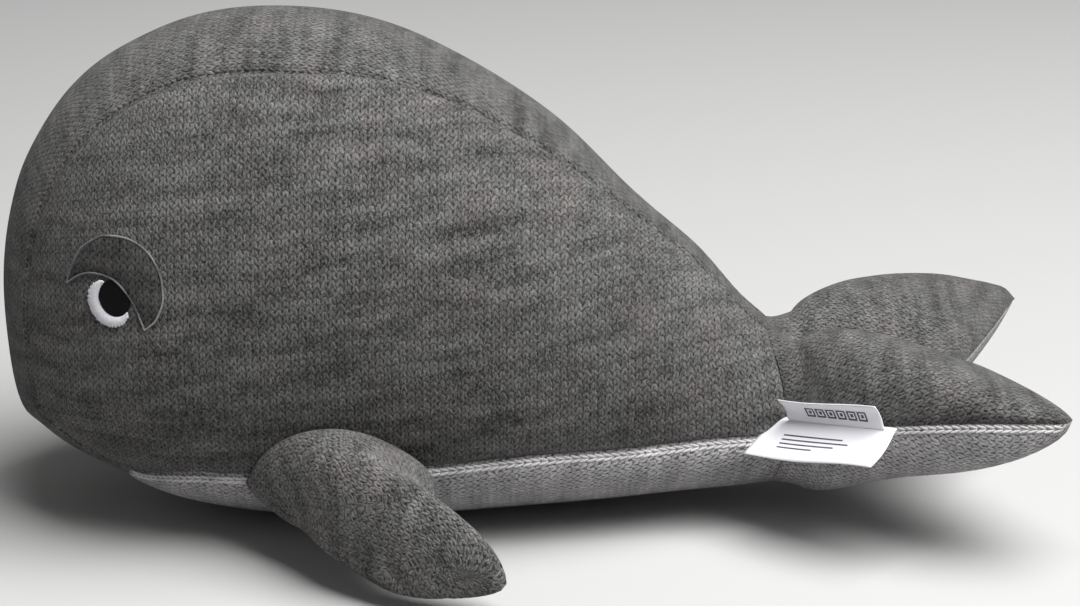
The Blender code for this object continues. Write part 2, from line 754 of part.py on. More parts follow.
def label_frame():
    """The frame of the label's fold: along the seam, towards the tail, and up, middle on the fold."""
    rim = [Vector((x, -y, fluke_middle(x, y))) for _, x, y, _ in fluke_stations(0)]
    lengths = np.cumsum([0] + [(end - start).length for start, end in zip(rim, rim[1:])])

    def at(length):
        return Vector([np.interp(length, lengths, [point[axis] for point in rim]) for axis in range(3)])

    start, end = at(LABEL_START), at(LABEL_START + LABEL_LENGTH)
    along = (end - start).normalized()
    out = Vector((along.y, -along.x, 0)).normalized()
    bulge = max((point - start).dot(out) for point in rim)
    up = out.cross(along)
    frame = Matrix((along, -out, up)).transposed().to_4x4()
    frame.translation = Vector((TAIL_HINGE_X, 0, TAIL_HEIGHT)) + (start + end) / 2 + out * (bulge + SEAM_GAP)
    return frame


def make_label(parts, finishes, tail):
    """Two leaves of one ribbon, both turning about its fold."""
    frame = label_frame()
    hinge = hinge_empty("label_hinge", tail.matrix_world.inverted() @ frame, parts)
    hinge.parent = tail
    leaves = (
        ("care_label_upper", LABEL_UPPER_WIDTH, LABEL_UPPER_LEAN, 1),
        ("care_label_lower", LABEL_LOWER_WIDTH, -LABEL_LOWER_DROOP, -1),
    )
    for name, width, lean, up in leaves:
        grid = []
        for row in range(LABEL_ROWS + 1):
            share = row / LABEL_ROWS
            bow = up * LABEL_CURL * math.sin(math.pi * share)
            out = width * share * math.cos(lean) + bow * math.sin(lean)
            height = up * SEAM_GAP + width * share * math.sin(lean) - bow * math.cos(lean)
            places = np.linspace(-LABEL_LENGTH / 2, LABEL_LENGTH / 2, LABEL_COLUMNS + 1)
            grid.append([Vector((along, -out, height)) for along in places])
        mesh = mesh_from_grids(name, [grid])
        face_to(mesh, Vector((0, -1, 0)))
        leaf = new_object(name, mesh, finishes["label"], parts)
        give_thickness(leaf, LABEL_THICKNESS, 1)
        leaf.parent = hinge


# Flippers


def flipper_line(rungs, side):
    """Both ends of the seam that holds a flipper, just outside the body."""
    ends = []
    for start in (FLIPPER_ROOT_START, FLIPPER_ROOT_START + FLIPPER_CHORD):
        x = FACE_X + start
        below = [rung for rung in rungs if rung.rim_z < rung.side_z and rung.side_x > HEAD_X - SEAM_GAP]
        below.sort(key=lambda rung: rung.side_x)
        xs = [rung.side_x for rung in below]
        fields = [np.interp(x, xs, [rung[field] for rung in below]) for field in range(len(below[0]))]
        rung = Rung(*fields)
        point = rung_point(rung, rung.edge_share, side)
        ahead = rung_point(rung, rung.edge_share + SEAM_GAP / BODY_HEIGHT, side)
        along_side = (ahead - point).normalized()
        outward = Vector((side, 0, 0)).cross(along_side)
        ends.append((point, outward if outward.y * side > 0 else -outward))
    return ends


def flipper_frame(rungs, side):
    (front, out_front), (rear, out_rear) = flipper_line(rungs, side)
    along = (rear - front).normalized()
    out = (out_front + out_rear).normalized()
    across = Vector((0, 1, 0))
    across = (across - along * across.dot(along)).normalized()
    middle = (front + rear) / 2 + out * (FLIPPER_TURN_GAP + flipper_bulge(rungs))
    frame = Matrix((along, across, along.cross(across))).transposed().to_4x4()
    frame.translation = middle
    return frame


def flipper_bulge(rungs):
    """How far the body swells past the straight line between the ends of the flipper's seam."""
    middle = FACE_X + FLIPPER_ROOT_START + FLIPPER_CHORD / 2
    start = FACE_X + FLIPPER_ROOT_START
    widths = [half_width(start), half_width(middle), half_width(start + FLIPPER_CHORD)]
    return widths[1] - (widths[0] + widths[2]) / 2


def flipper_grid(top, side, inset=0):
    """One face of a flipper in its hinge's frame, from its seam to its tip. The inset is for the filling."""
    up = 1 if top else -1
    fine = smooth_curve(FLIPPER_SHARES, CURVE_FINENESS * FLIPPER_SPANS + 1)
    grid = []
    kept = inset / FLIPPER_REACH
    for reach in np.clip(fine[::CURVE_FINENESS, 0], kept, 1 - kept):
        columns = [np.interp(reach, fine[:, 0], fine[:, column]) for column in range(1, 5)]
        sink, sweep, chord, thickness = columns
        half_chord = chord * FLIPPER_CHORD / 2 - inset
        full = FLIPPER_THICKNESS / 2 * thickness
        hem = 0 if inset else hem_height(thickness)
        row = []
        for step in range(-FLIPPER_ROWS, FLIPPER_ROWS + 1):
            inward, outward = quarter(abs(step) / FLIPPER_ROWS, FLIPPER_ROUNDNESS)
            along = sweep * FLIPPER_SWEEP + math.copysign(half_chord * outward, step)
            height = up * (hem + max(full - hem, 0) * inward) - sink * FLIPPER_SINK
            row.append(Vector((along, side * reach * FLIPPER_REACH, height)))
        grid.append(row)
    return grid


def make_flipper(side, name, rungs, parts, finishes):
    hinge = hinge_empty(f"flipper_hinge_{name}", flipper_frame(rungs, side), parts)
    for layer, top in (("top", True), ("under", False)):
        mesh = mesh_from_grids(f"flipper_{layer}_{name}", [flipper_grid(top, side)])
        face_to(mesh, Vector((0, 0, 1 if top else -1)))
        panel = new_object(f"flipper_{layer}_{name}", mesh, finishes["dark" if top else "light"], parts)
        give_thickness(panel, KNIT_THICKNESS)
        panel.parent = hinge
    mesh = mesh_from_grids(
        f"flipper_filling_{name}",
        [flipper_grid(True, side, HEM_WIDTH), flipper_grid(False, side, HEM_WIDTH)],
    )
    fill_ends(mesh)
    filling = new_object(f"flipper_filling_{name}", mesh, finishes["filling"], parts)
    lay_inside(filling)
    filling.parent = hinge


def main():
    clear_scene()
    parts = new_collection("plush_whale")
    cutters = new_collection("cutters")
    finishes = {
        "dark": material("dark_knit", (0.107, 0.102, 0.098), 0.95),
        "light": material("light_knit", (0.391, 0.376, 0.376), 0.95),
        "filling": material("polyester_filling", (0.8, 0.8, 0.78), 1.0),
        "lid": material("lid_cloth", (0.048, 0.048, 0.047), 0.9),
        "edging": material("grey_thread", (0.32, 0.32, 0.33), 0.6),
        "white": material("white_thread", (0.76, 0.75, 0.80), 0.5),
        "black": material("black_thread", (0.004, 0.004, 0.004), 0.5),
        "label": material("white_satin", (0.86, 0.86, 0.87), 0.35),
    }
    make_body(parts, cutters, finishes)
    make_eyes(parts, finishes)
    tail = make_tail(parts, finishes)
    make_label(parts, finishes, tail)
    rungs = body_rungs()
    for side, name in ((-1, "left"), (1, "right")):
        make_flipper(side, name, rungs, parts, finishes)


main()
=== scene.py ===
"""A plush whale lying on its belly: heather knit panels sewn over a soft filling, stitched eyes, a folded care label.

Metres, +Z up, the head to -X and the toy's own left side to -Y, as in the frame.
"""

import json
import math

import bmesh
import bpy
import numpy as np
from mathutils import Vector, noise
from mathutils.bvhtree import BVHTree
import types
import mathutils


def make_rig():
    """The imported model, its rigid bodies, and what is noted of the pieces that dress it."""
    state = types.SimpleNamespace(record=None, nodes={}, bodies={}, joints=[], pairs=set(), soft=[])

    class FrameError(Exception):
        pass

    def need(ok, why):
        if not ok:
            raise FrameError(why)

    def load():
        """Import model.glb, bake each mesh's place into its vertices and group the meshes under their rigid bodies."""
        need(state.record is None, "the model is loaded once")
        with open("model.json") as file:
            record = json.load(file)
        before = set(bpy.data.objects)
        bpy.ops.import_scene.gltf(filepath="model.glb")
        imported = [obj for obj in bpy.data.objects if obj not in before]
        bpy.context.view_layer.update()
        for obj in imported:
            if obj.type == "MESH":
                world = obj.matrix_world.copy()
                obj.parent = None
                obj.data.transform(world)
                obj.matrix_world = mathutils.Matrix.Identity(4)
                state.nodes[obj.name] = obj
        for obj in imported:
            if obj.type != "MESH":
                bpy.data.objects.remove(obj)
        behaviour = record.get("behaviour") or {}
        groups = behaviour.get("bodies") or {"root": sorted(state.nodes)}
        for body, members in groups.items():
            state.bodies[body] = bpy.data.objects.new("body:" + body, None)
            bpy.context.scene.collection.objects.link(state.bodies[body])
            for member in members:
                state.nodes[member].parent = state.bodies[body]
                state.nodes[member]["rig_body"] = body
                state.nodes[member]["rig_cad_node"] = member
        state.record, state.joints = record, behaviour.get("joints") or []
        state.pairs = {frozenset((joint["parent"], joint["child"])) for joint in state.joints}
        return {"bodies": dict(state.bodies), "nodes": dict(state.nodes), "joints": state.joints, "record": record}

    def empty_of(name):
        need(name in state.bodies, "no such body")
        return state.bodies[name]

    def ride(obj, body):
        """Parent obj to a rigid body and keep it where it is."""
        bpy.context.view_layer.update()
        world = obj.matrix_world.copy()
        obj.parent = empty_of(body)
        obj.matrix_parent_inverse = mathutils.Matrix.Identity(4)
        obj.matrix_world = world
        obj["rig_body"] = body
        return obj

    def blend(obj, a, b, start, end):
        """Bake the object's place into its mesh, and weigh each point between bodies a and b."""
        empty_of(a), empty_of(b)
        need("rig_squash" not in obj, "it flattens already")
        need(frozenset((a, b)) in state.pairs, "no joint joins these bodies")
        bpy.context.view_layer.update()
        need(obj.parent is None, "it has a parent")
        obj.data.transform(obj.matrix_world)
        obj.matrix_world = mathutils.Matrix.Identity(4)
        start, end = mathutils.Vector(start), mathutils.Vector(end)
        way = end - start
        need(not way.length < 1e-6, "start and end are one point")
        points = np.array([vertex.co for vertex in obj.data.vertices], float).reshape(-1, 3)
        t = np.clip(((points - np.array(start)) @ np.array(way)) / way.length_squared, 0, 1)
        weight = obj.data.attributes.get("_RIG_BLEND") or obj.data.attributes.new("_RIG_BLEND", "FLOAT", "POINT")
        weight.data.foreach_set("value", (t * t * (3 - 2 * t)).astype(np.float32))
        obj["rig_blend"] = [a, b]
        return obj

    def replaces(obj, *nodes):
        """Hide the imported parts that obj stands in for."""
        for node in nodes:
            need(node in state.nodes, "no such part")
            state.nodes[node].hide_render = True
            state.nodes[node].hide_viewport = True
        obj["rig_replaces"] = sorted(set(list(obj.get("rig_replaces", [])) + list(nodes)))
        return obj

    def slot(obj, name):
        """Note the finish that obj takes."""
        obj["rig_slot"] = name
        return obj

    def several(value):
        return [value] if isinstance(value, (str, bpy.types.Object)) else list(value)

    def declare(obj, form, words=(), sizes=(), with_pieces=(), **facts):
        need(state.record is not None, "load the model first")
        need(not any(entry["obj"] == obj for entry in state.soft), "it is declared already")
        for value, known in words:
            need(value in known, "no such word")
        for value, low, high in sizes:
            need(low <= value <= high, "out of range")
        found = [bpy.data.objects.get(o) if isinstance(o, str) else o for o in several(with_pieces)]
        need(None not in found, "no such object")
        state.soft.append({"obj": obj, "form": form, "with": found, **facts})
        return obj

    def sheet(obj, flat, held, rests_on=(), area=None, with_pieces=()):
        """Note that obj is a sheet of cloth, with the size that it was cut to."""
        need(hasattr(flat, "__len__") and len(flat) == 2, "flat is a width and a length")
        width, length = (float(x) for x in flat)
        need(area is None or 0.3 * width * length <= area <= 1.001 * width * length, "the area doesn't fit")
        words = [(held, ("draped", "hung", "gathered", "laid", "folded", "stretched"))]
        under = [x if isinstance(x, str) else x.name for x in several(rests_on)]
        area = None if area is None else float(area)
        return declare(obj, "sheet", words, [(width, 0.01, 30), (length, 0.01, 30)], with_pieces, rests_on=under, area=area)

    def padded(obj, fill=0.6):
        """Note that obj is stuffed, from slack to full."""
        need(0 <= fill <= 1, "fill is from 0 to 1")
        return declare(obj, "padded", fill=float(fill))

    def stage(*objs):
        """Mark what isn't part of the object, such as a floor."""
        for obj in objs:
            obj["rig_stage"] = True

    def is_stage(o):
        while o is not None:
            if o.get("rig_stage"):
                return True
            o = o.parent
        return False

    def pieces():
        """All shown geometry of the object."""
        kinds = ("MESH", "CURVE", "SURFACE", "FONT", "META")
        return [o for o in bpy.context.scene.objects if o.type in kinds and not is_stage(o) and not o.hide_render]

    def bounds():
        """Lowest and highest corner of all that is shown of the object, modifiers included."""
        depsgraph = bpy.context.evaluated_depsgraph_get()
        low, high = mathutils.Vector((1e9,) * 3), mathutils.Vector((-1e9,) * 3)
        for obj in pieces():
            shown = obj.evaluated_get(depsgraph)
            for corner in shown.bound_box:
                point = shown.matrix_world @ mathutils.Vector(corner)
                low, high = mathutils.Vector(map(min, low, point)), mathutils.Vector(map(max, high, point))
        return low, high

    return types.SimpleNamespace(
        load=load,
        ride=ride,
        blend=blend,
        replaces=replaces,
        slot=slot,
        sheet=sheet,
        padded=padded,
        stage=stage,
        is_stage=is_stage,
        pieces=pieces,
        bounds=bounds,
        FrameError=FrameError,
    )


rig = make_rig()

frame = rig.load()
cad_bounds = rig.bounds()


# Camera. It stands level with the toy's left side and looks down on it a little, through a long lens.
photo_width = 1080
focal_length_in_pixels = 3088
sensor_width_mm = 36
camera_distance = 1.05
camera_elevation = math.radians(18)
looked_at = Vector((0.0046, 0, 0.07005))

camera = bpy.data.objects.new("camera", bpy.data.cameras.new("camera"))
camera.data.sensor_width = sensor_width_mm
camera.data.lens = focal_length_in_pixels * sensor_width_mm / photo_width
camera.data.clip_start = 0.05
camera.location = looked_at + camera_distance * Vector((0, -math.cos(camera_elevation), math.sin(camera_elevation)))
camera.rotation_euler = (math.pi / 2 - camera_elevation, 0, 0)
bpy.context.scene.collection.objects.link(camera)
bpy.context.scene.camera = camera
bpy.context.scene.view_settings.view_transform = "Standard"


# Stage. One broad soft lamp hangs over the toy's tail, and a dim room fills the shadows. The floor is a plain pale
# sheet that reaches behind the toy from any side. It throws back less light than it shows, so that the toy's
# underside stays dark.
floor_size = 12
floor_seen = (0.56, 0.56, 0.555)
floor_lighting = (0.36, 0.36, 0.36)
floor_roughness = 0.9
room_light = 0.145
lamp_size = 1.3
lamp_power = 43
lamp_place = Vector((0.50, -0.36, 1.40))


def place(name, mesh, finish):
    obj = bpy.data.objects.new(name, mesh)
    mesh.materials.append(finish)
    bpy.context.scene.collection.objects.link(obj)
    return obj


class Reading:
    """A number that a node gives. Plain arithmetic on it adds a Math node for each step."""

    def __init__(self, tree, socket):
        self.tree, self.socket = tree, socket

    def to(self, operation, *others):
        made = node(self.tree, "ShaderNodeMath", dict(enumerate((self, *others))), operation=operation)
        return Reading(self.tree, made.outputs[0])

    def __add__(self, other):
        return self.to("ADD", other)

    def __sub__(self, other):
        return self.to("SUBTRACT", other)

    def __rsub__(self, other):
        return self.to("MULTIPLY_ADD", -1, other)

    def __mul__(self, other):
        return self.to("MULTIPLY", other)

    def __truediv__(self, other):
        return self.to("DIVIDE", other)

    def __pow__(self, other):
        return self.to("POWER", other)


def node(tree, kind, inputs=None, **settings):
    """A node with its inputs set to values, or linked where a socket or a reading is given."""
    made = tree.nodes.new(kind)
    for name, value in settings.items():
        setattr(made, name, value)
    for key, value in (inputs or {}).items():
        value = value.socket if isinstance(value, Reading) else value
        if isinstance(value, bpy.types.NodeSocket):
            tree.links.new(value, made.inputs[key])
        else:
            made.inputs[key].default_value = value
    return made


def mixed(tree, share, first, second, **settings):
    """A colour between two others, each of them three numbers or a socket."""
    first, second = ((*colour, 1) if isinstance(colour, tuple) else colour for colour in (first, second))
    return node(tree, "ShaderNodeMix", {0: share, 6: first, 7: second}, data_type="RGBA", **settings).outputs[2]


floor_mesh = bpy.data.meshes.new("floor")
corners = [(x * floor_size / 2, y * floor_size / 2, 0) for x, y in ((-1, -1), (1, -1), (1, 1), (-1, 1))]
floor_mesh.from_pydata(corners, [], [(0, 1, 2, 3)])
floor_paper = bpy.data.materials.new("floor_paper")
floor_paper.use_nodes = True
floor_tree = floor_paper.node_tree
floor_shader = floor_tree.nodes["Principled BSDF"]
floor_shader.inputs["Roughness"].default_value = floor_roughness
ray = node(floor_tree, "ShaderNodeLightPath").outputs["Is Camera Ray"]
floor_colour = mixed(floor_tree, ray, floor_lighting, floor_seen)
floor_tree.links.new(floor_colour, floor_shader.inputs["Base Color"])
floor = place("floor", floor_mesh, floor_paper)
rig.stage(floor)

room = bpy.data.worlds.new("room")
room.use_nodes = True
room.node_tree.nodes["Background"].inputs["Color"].default_value = (1, 1, 1, 1)
room.node_tree.nodes["Background"].inputs["Strength"].default_value = room_light
bpy.context.scene.world = room

lamp = bpy.data.objects.new("lamp", bpy.data.lights.new("lamp", "AREA"))
lamp.data.size = lamp_size
lamp.data.energy = lamp_power
lamp.location = lamp_place
lamp.rotation_euler = (looked_at - lamp_place).to_track_quat("-Z", "Y").to_euler()
bpy.context.scene.collection.objects.link(lamp)


# Body filling. A closed bag of loose fibre, as full as the skin lets it be: a blunt head, a high back that slopes
# to the tail, and a belly that is pressed flat where the toy lies on it.
body_length = 0.2585
body_height = 0.1715
body_width = 0.138
head_reach = 0.066
head_middle_height = 0.076
body_roundness = 2.15
face_roundness = 1.9
tail_root_radius = 0.026
tail_swing = math.radians(20)
tail_setback = tail_root_radius * math.sin(tail_swing)
fluke_length = 0.085
face_x = -(body_length + tail_setback + fluke_length) / 2
head_x = face_x + head_reach
body_end_x = face_x + body_length
filling_depth = 0.0032
rest_height = 0.0003
lump_size = 0.038
lump_height = 0.0007

# The side outline, from the tail's top over the back, round the face and along the belly, as shares of the
# body's length and height.
outline_shares = (
    (1.000, 0.371), (0.960, 0.423), (0.905, 0.518), (0.820, 0.633), (0.720, 0.778), (0.603, 0.898),
    (0.487, 0.976), (0.371, 1.000), (0.255, 0.984), (0.158, 0.922), (0.090, 0.840), (0.040, 0.728),
    (0.014, 0.616), (0.000, 0.475), (0.002, 0.322), (0.014, 0.226), (0.037, 0.188), (0.081, 0.137),
    (0.158, 0.078), (0.255, 0.024), (0.371, -0.003), (0.526, -0.002), (0.681, 0.010), (0.836, 0.028),
    (1.000, 0.048),
)
width_shares = ((0.255, 0.97), (0.371, 1.00), (0.526, 0.98), (0.681, 0.88), (0.836, 0.68), (1.000, 0.445))
middle_shares = ((0.255, 1.00), (0.450, 0.99), (0.681, 0.86), (0.836, 0.68), (1.000, 0.473))
curve_fineness = 24


def smooth_curve(points):
    """Many places on one smooth line through the points, with any number of columns."""
    points = [np.array(point, float) for point in points]
    padded = [2 * points[0] - points[1], *points, 2 * points[-1] - points[-2]]
    placed = []
    for at in np.linspace(0, len(points) - 1, curve_fineness * (len(points) - 1) + 1):
        span = min(int(at), len(points) - 2)
        before, start, end, after = padded[span : span + 4]
        part = at - span
        line = 2 * start + (end - before) * part
        bend = (2 * before - 5 * start + 4 * end - after) * part**2
        twist = (3 * start - before - 3 * end + after) * part**3
        placed.append((line + bend + twist) / 2)
    return np.array(placed)


def read_at(stops, lengths, line):
    """Places on a line at stops, given the length at which each of its points lies."""
    return np.stack([np.interp(stops, lengths, column) for column in line.T], axis=-1)


def curve_at(curve, share):
    """Places at shares of the way along a finely divided curve."""
    return read_at(np.asarray(share) * (len(curve) - 1), range(len(curve)), curve)


def run_along(points, axis=0):
    """How far each point lies from the first, along the lines that run in one direction of a grid."""
    steps = np.linalg.norm(np.diff(points, axis=axis), axis=-1).cumsum(axis=axis)
    return np.concatenate([np.zeros_like(np.take(steps, [0], axis=axis)), steps], axis=axis)


def unit(vectors):
    return vectors / np.maximum(np.linalg.norm(vectors, axis=-1, keepdims=True), 1e-12)


def reader(table):
    curve = smooth_curve(table)
    return lambda at: np.interp(at, curve[:, 0], curve[:, 1])


outline = smooth_curve(outline_shares) * (body_length, body_height) + (face_x, 0)
outline_front = int(np.argmin(outline[:, 0]))
width_at = reader(width_shares)
middle_at = reader(middle_shares)


def length_share(x):
    return (x - face_x) / body_length


def half_width(x):
    return width_at(length_share(x)) * body_width / 2


def middle_height(x):
    return middle_at(length_share(x)) * head_middle_height


def top_height(x):
    return np.interp(x, outline[outline_front::-1, 0], outline[outline_front::-1, 1])


def bottom_height(x):
    return np.interp(x, outline[outline_front:, 0], outline[outline_front:, 1])


fan_overlap = head_reach / 4
fan = outline[outline[:, 0] < head_x + fan_overlap] - (head_x, head_middle_height)
fan_turns = np.arctan2(fan[:, 1], fan[:, 0]) % (2 * math.pi)
fan_reaches = np.hypot(fan[:, 0], fan[:, 1])


def face_outline_reach(turn):
    return np.interp(turn, fan_turns, fan_reaches)


def roundness_at(turn):
    """How boxy the head's sections are, straight up or down and straight ahead of its middle."""
    return body_roundness + (face_roundness - body_roundness) * np.maximum(-np.cos(turn), 0)


def quarter(share, roundness):
    """A quarter of a rounded section: how far it still reaches to its rim, and how far out it has come."""
    turn = np.asarray(share) * math.pi / 2
    return np.maximum(np.cos(turn), 0) ** (2 / roundness), np.maximum(np.sin(turn), 0) ** (2 / roundness)


def share_at(reach, roundness):
    return np.arcsin(np.minimum(reach, 1) ** (roundness / 2)) / (math.pi / 2)


# The back is read off in upright sections from the tail to the head's middle, and the face in a fan from there.
# Sections crowd together at the two places where a seam crosses them.
seam_crowd = (0, 0.0003, 0.0006, 0.0010, 0.0015, 0.0022, 0.0031, 0.0042)
section_spacing = 0.0024
chin_turn = math.radians(90 + 180 * 0.875)
chin_reach = float(face_outline_reach(chin_turn))


def crowded(start, end, spacing):
    """Distances from start to end, crowded at the start."""
    length = abs(end - start)
    even = np.linspace(seam_crowd[-1], length, max(int(length / spacing), 2))[1:]
    return start + np.sign(end - start) * np.concatenate([seam_crowd, even])


back_stations = crowded(body_end_x, head_x, section_spacing)
face_turns = np.concatenate([
    np.linspace(math.pi / 2, chin_turn - seam_crowd[-1] / chin_reach, 96)[1:],
    chin_turn - np.array(seam_crowd[-2:0:-1]) / chin_reach,
    chin_turn + np.array(seam_crowd) / chin_reach,
    np.linspace(chin_turn + seam_crowd[-1] / chin_reach, 3 * math.pi / 2, 14)[1:-1],
])


class Sections:
    """The body's sections in a row: each one's rim and widest place in the side view, width and roundness."""

    def __init__(self, rim, side, width, roundness, turn):
        self.rim, self.side, self.width, self.roundness, self.turn = rim, side, width, roundness, turn

    def part(self, keep):
        return Sections(self.rim[keep], self.side[keep], self.width[keep], self.roundness[keep], self.turn[keep])

    def points(self, shares, hand):
        """Points at shares of each section, one row a section. Hand is -1 on the toy's left and 1 on its right."""
        inward, outward = quarter(shares, self.roundness[:, None])
        flat = self.side[:, None, :] + (self.rim - self.side)[:, None, :] * inward[..., None]
        return np.stack([flat[..., 0], hand * self.width[:, None] * outward, flat[..., 1]], axis=-1)


def upright_sections(stations, height, turn):
    rim = np.stack([stations, height(stations)], axis=-1)
    side = np.stack([stations, middle_height(stations)], axis=-1)
    count = len(stations)
    return rim, side, half_width(stations), np.full(count, body_roundness), np.full(count, turn)


def face_sections(turns):
    reach = face_outline_reach(turns)
    middle = np.array((head_x, head_middle_height))
    rim = middle + reach[:, None] * np.stack([np.cos(turns), np.sin(turns)], axis=-1)
    side = np.tile(middle, (len(turns), 1))
    return rim, side, np.full(len(turns), half_width(head_x)), roundness_at(turns), turns


groups = (
    upright_sections(back_stations, top_height, math.pi / 2),
    face_sections(face_turns),
    upright_sections(back_stations[::-1], bottom_height, 3 * math.pi / 2),
)
body_sections = Sections(*(np.concatenate(parts) for parts in zip(*groups)))


def lump(point):
    """The filling isn't quite even, so the skin over it is a little lumpy."""
    return lump_height * noise.noise(Vector(point) / lump_size)


def grid_normals(points, middle):
    """A grid's normals, all turned to point away from the form's middle."""
    across = np.gradient(points, axis=1)
    along = np.gradient(points, axis=0)
    normals = np.cross(across, along)
    lengths = np.linalg.norm(normals, axis=2, keepdims=True)
    normals = normals / np.maximum(lengths, 1e-12)
    at_pole = lengths[..., 0] < 1e-12
    normals[at_pole] = np.roll(normals, 1, axis=1)[at_pole]
    away = (normals * (points - middle)).sum(axis=2).mean()
    return normals if away > 0 else -normals


def formed(name, points, finish, places=None, middle=None):
    """A piece of one grid of points, or of several, welded where they meet, with each point's place on the cloth.
    It is a sheet that faces away from a middle, or a closed solid where no middle is given."""
    made = bmesh.new()
    layer = made.loops.layers.uv.new("knit")
    grids = points if isinstance(points, list) else [points]
    for grid in grids:
        rows = [[made.verts.new(point) for point in row] for row in grid]
        for r in range(len(rows) - 1):
            for c in range(len(rows[r]) - 1):
                corners = ((r, c), (r, c + 1), (r + 1, c + 1), (r + 1, c))
                face = made.faces.new([rows[a][b] for a, b in corners])
                face.smooth = True
                if places is not None:
                    for loop, (a, b) in zip(face.loops, corners):
                        loop[layer].uv = places[a][b]
    bmesh.ops.remove_doubles(made, verts=made.verts, dist=weld_distance)
    bmesh.ops.dissolve_degenerate(made, edges=made.edges, dist=weld_distance)
    if middle is None:
        bmesh.ops.holes_fill(made, edges=made.edges, sides=0)
        bmesh.ops.recalc_face_normals(made, faces=made.faces)
        away = made.calc_volume(signed=True)
    else:
        made.normal_update()
        middle = Vector(middle)
        away = sum(face.normal.dot(face.calc_center_median() - middle) * face.calc_area() for face in made.faces)
    if away < 0:
        bmesh.ops.reverse_faces(made, faces=made.faces)
    mesh = bpy.data.meshes.new(name)
    made.to_mesh(mesh)
    made.free()
    return place(name, mesh, finish)


def new_material(name, roughness, sheen=0):
    """A material and its tree. Sheen is the soft light that catches loose fibres at a glancing angle."""
    made = bpy.data.materials.new(name)
    made.use_nodes = True
    shader = made.node_tree.nodes["Principled BSDF"]
    for socket, value in (("Roughness", roughness), ("Sheen Weight", sheen), ("Sheen Roughness", 0.5),
                          ("Specular IOR Level", 0.2)):
        shader.inputs[socket].default_value = value
    return made, made.node_tree


def noise_in(tree, place, scale, detail, **others):
    """Noise at a place. Its outputs are a number, Fac, and three numbers, Color."""
    return node(tree, "ShaderNodeTexNoise", {"Vector": place, "Scale": scale, "Detail": detail, **others}).outputs


def finished(made, colour, height, relief, strength=1.0):
    """Joins a colour and a pattern's height to a material's shader. Returns the material."""
    tree = made.node_tree
    shader = tree.nodes["Principled BSDF"]
    if isinstance(colour, tuple):
        shader.inputs["Base Color"].default_value = (*colour, 1)
    else:
        tree.links.new(colour, shader.inputs["Base Color"])
    bump = node(tree, "ShaderNodeBump", {"Height": height, "Distance": relief, "Strength": strength})
    tree.links.new(bump.outputs[0], shader.inputs["Normal"])
    return made


weld_distance = 0.00002
tuft_scale = 420
body_middle = np.array((head_x, 0, head_middle_height))

fibre, fibre_tree = new_material("polyester_fibre", 1.0)
tufts = node(fibre_tree, "ShaderNodeTexCoord").outputs["Object"]
tufts = noise_in(fibre_tree, tufts, tuft_scale, 6, Distortion=2)["Fac"]
finished(fibre, mixed(fibre_tree, tufts, (0.62, 0.62, 0.6), (0.86, 0.86, 0.84)), tufts, 0.001)

inside_ends = np.abs(body_sections.rim[:, 0] - body_end_x) > filling_depth
filling_sections = body_sections.part(inside_ends)
filling_shares = np.tile(np.linspace(0, 1, 25), (len(filling_sections.turn), 1))
filling_grids = []
for hand in (-1, 1):
    surface = filling_sections.points(filling_shares, hand)
    normals = grid_normals(surface, body_middle)
    normals[:, -1] = (0, hand, 0)
    surface = surface - normals * filling_depth
    surface[..., 1] = hand * np.maximum(hand * surface[..., 1], 0)
    surface[:, 0, 1] = 0
    filling_grids.append(surface[::2])
body_stuffing = formed("body_stuffing", filling_grids, fibre)
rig.ride(body_stuffing, "body")
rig.replaces(body_stuffing, "body_filling")
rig.slot(body_stuffing, "filling")
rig.padded(body_stuffing, fill=0.9)


# Side panels. One on each side, cut from dark heather stocking-stitch knit with its columns of stitches upright.
# The edges are turned in and sewn, so each seam is a fine crease that the stuffed cloth rolls down into.
cloth_thickness = 0.0012
seam_dip = 0.0011
seam_roll = 0.0014
seam_turning = 0.0026
taper_length = 0.005
corner_reach = 0.012
corner_thinness = 0.08
seam_bow = 0.0045
seam_bow_length = 0.022
tail_height = 0.0359
end_seam_ease = 0.0019
roll_at = 0.009
roll_ease = 0.020
pucker_size = 0.0075
pucker_share = 0.45
wale_width = 0.00245
course_height = 0.0025
course_slope = 0.10
leg_slant = 0.38
leg_drift, leg_foot, leg_half_width = 0.26, 0.37, 0.58
dot_height, dot_length, dot_half_width = 0.72, 0.22, 0.34
gusset_width = 0.072
face_gusset_width = 0.074
gusset_shares = (
    (0.400, 1.0), (0.525, 0.88), (0.655, 0.74), (0.730, 0.61), (0.800, 0.45), (0.860, 0.32), (0.930, 0.24),
    (1.000, 0.16),
)
belly_edge_shares = (
    (0.164, 0.34), (0.211, 0.48), (0.265, 0.555), (0.340, 0.585), (0.450, 0.615), (0.572, 0.65), (0.674, 0.69),
    (0.777, 0.73), (0.842, 0.775), (0.907, 0.838), (1.000, 0.94),
)
gusset_at = reader(gusset_shares)
belly_edge_at = reader(belly_edge_shares)


def seam_share(sections):
    """Where each section crosses the seam that edges the side panel."""
    ahead = np.maximum(-np.cos(sections.turn), 0)
    on_back = sections.turn <= math.pi / 2
    along_back = gusset_at(length_share(sections.rim[:, 0])) * gusset_width / 2
    over_face = (gusset_width + (face_gusset_width - gusset_width) * ahead) / 2
    reach = np.where(on_back, along_back, over_face)
    upper = share_at(reach / sections.width, sections.roundness)
    lower = belly_edge_at(length_share(sections.rim[:, 0]))
    return np.where(sections.turn <= chin_turn, upper, lower)


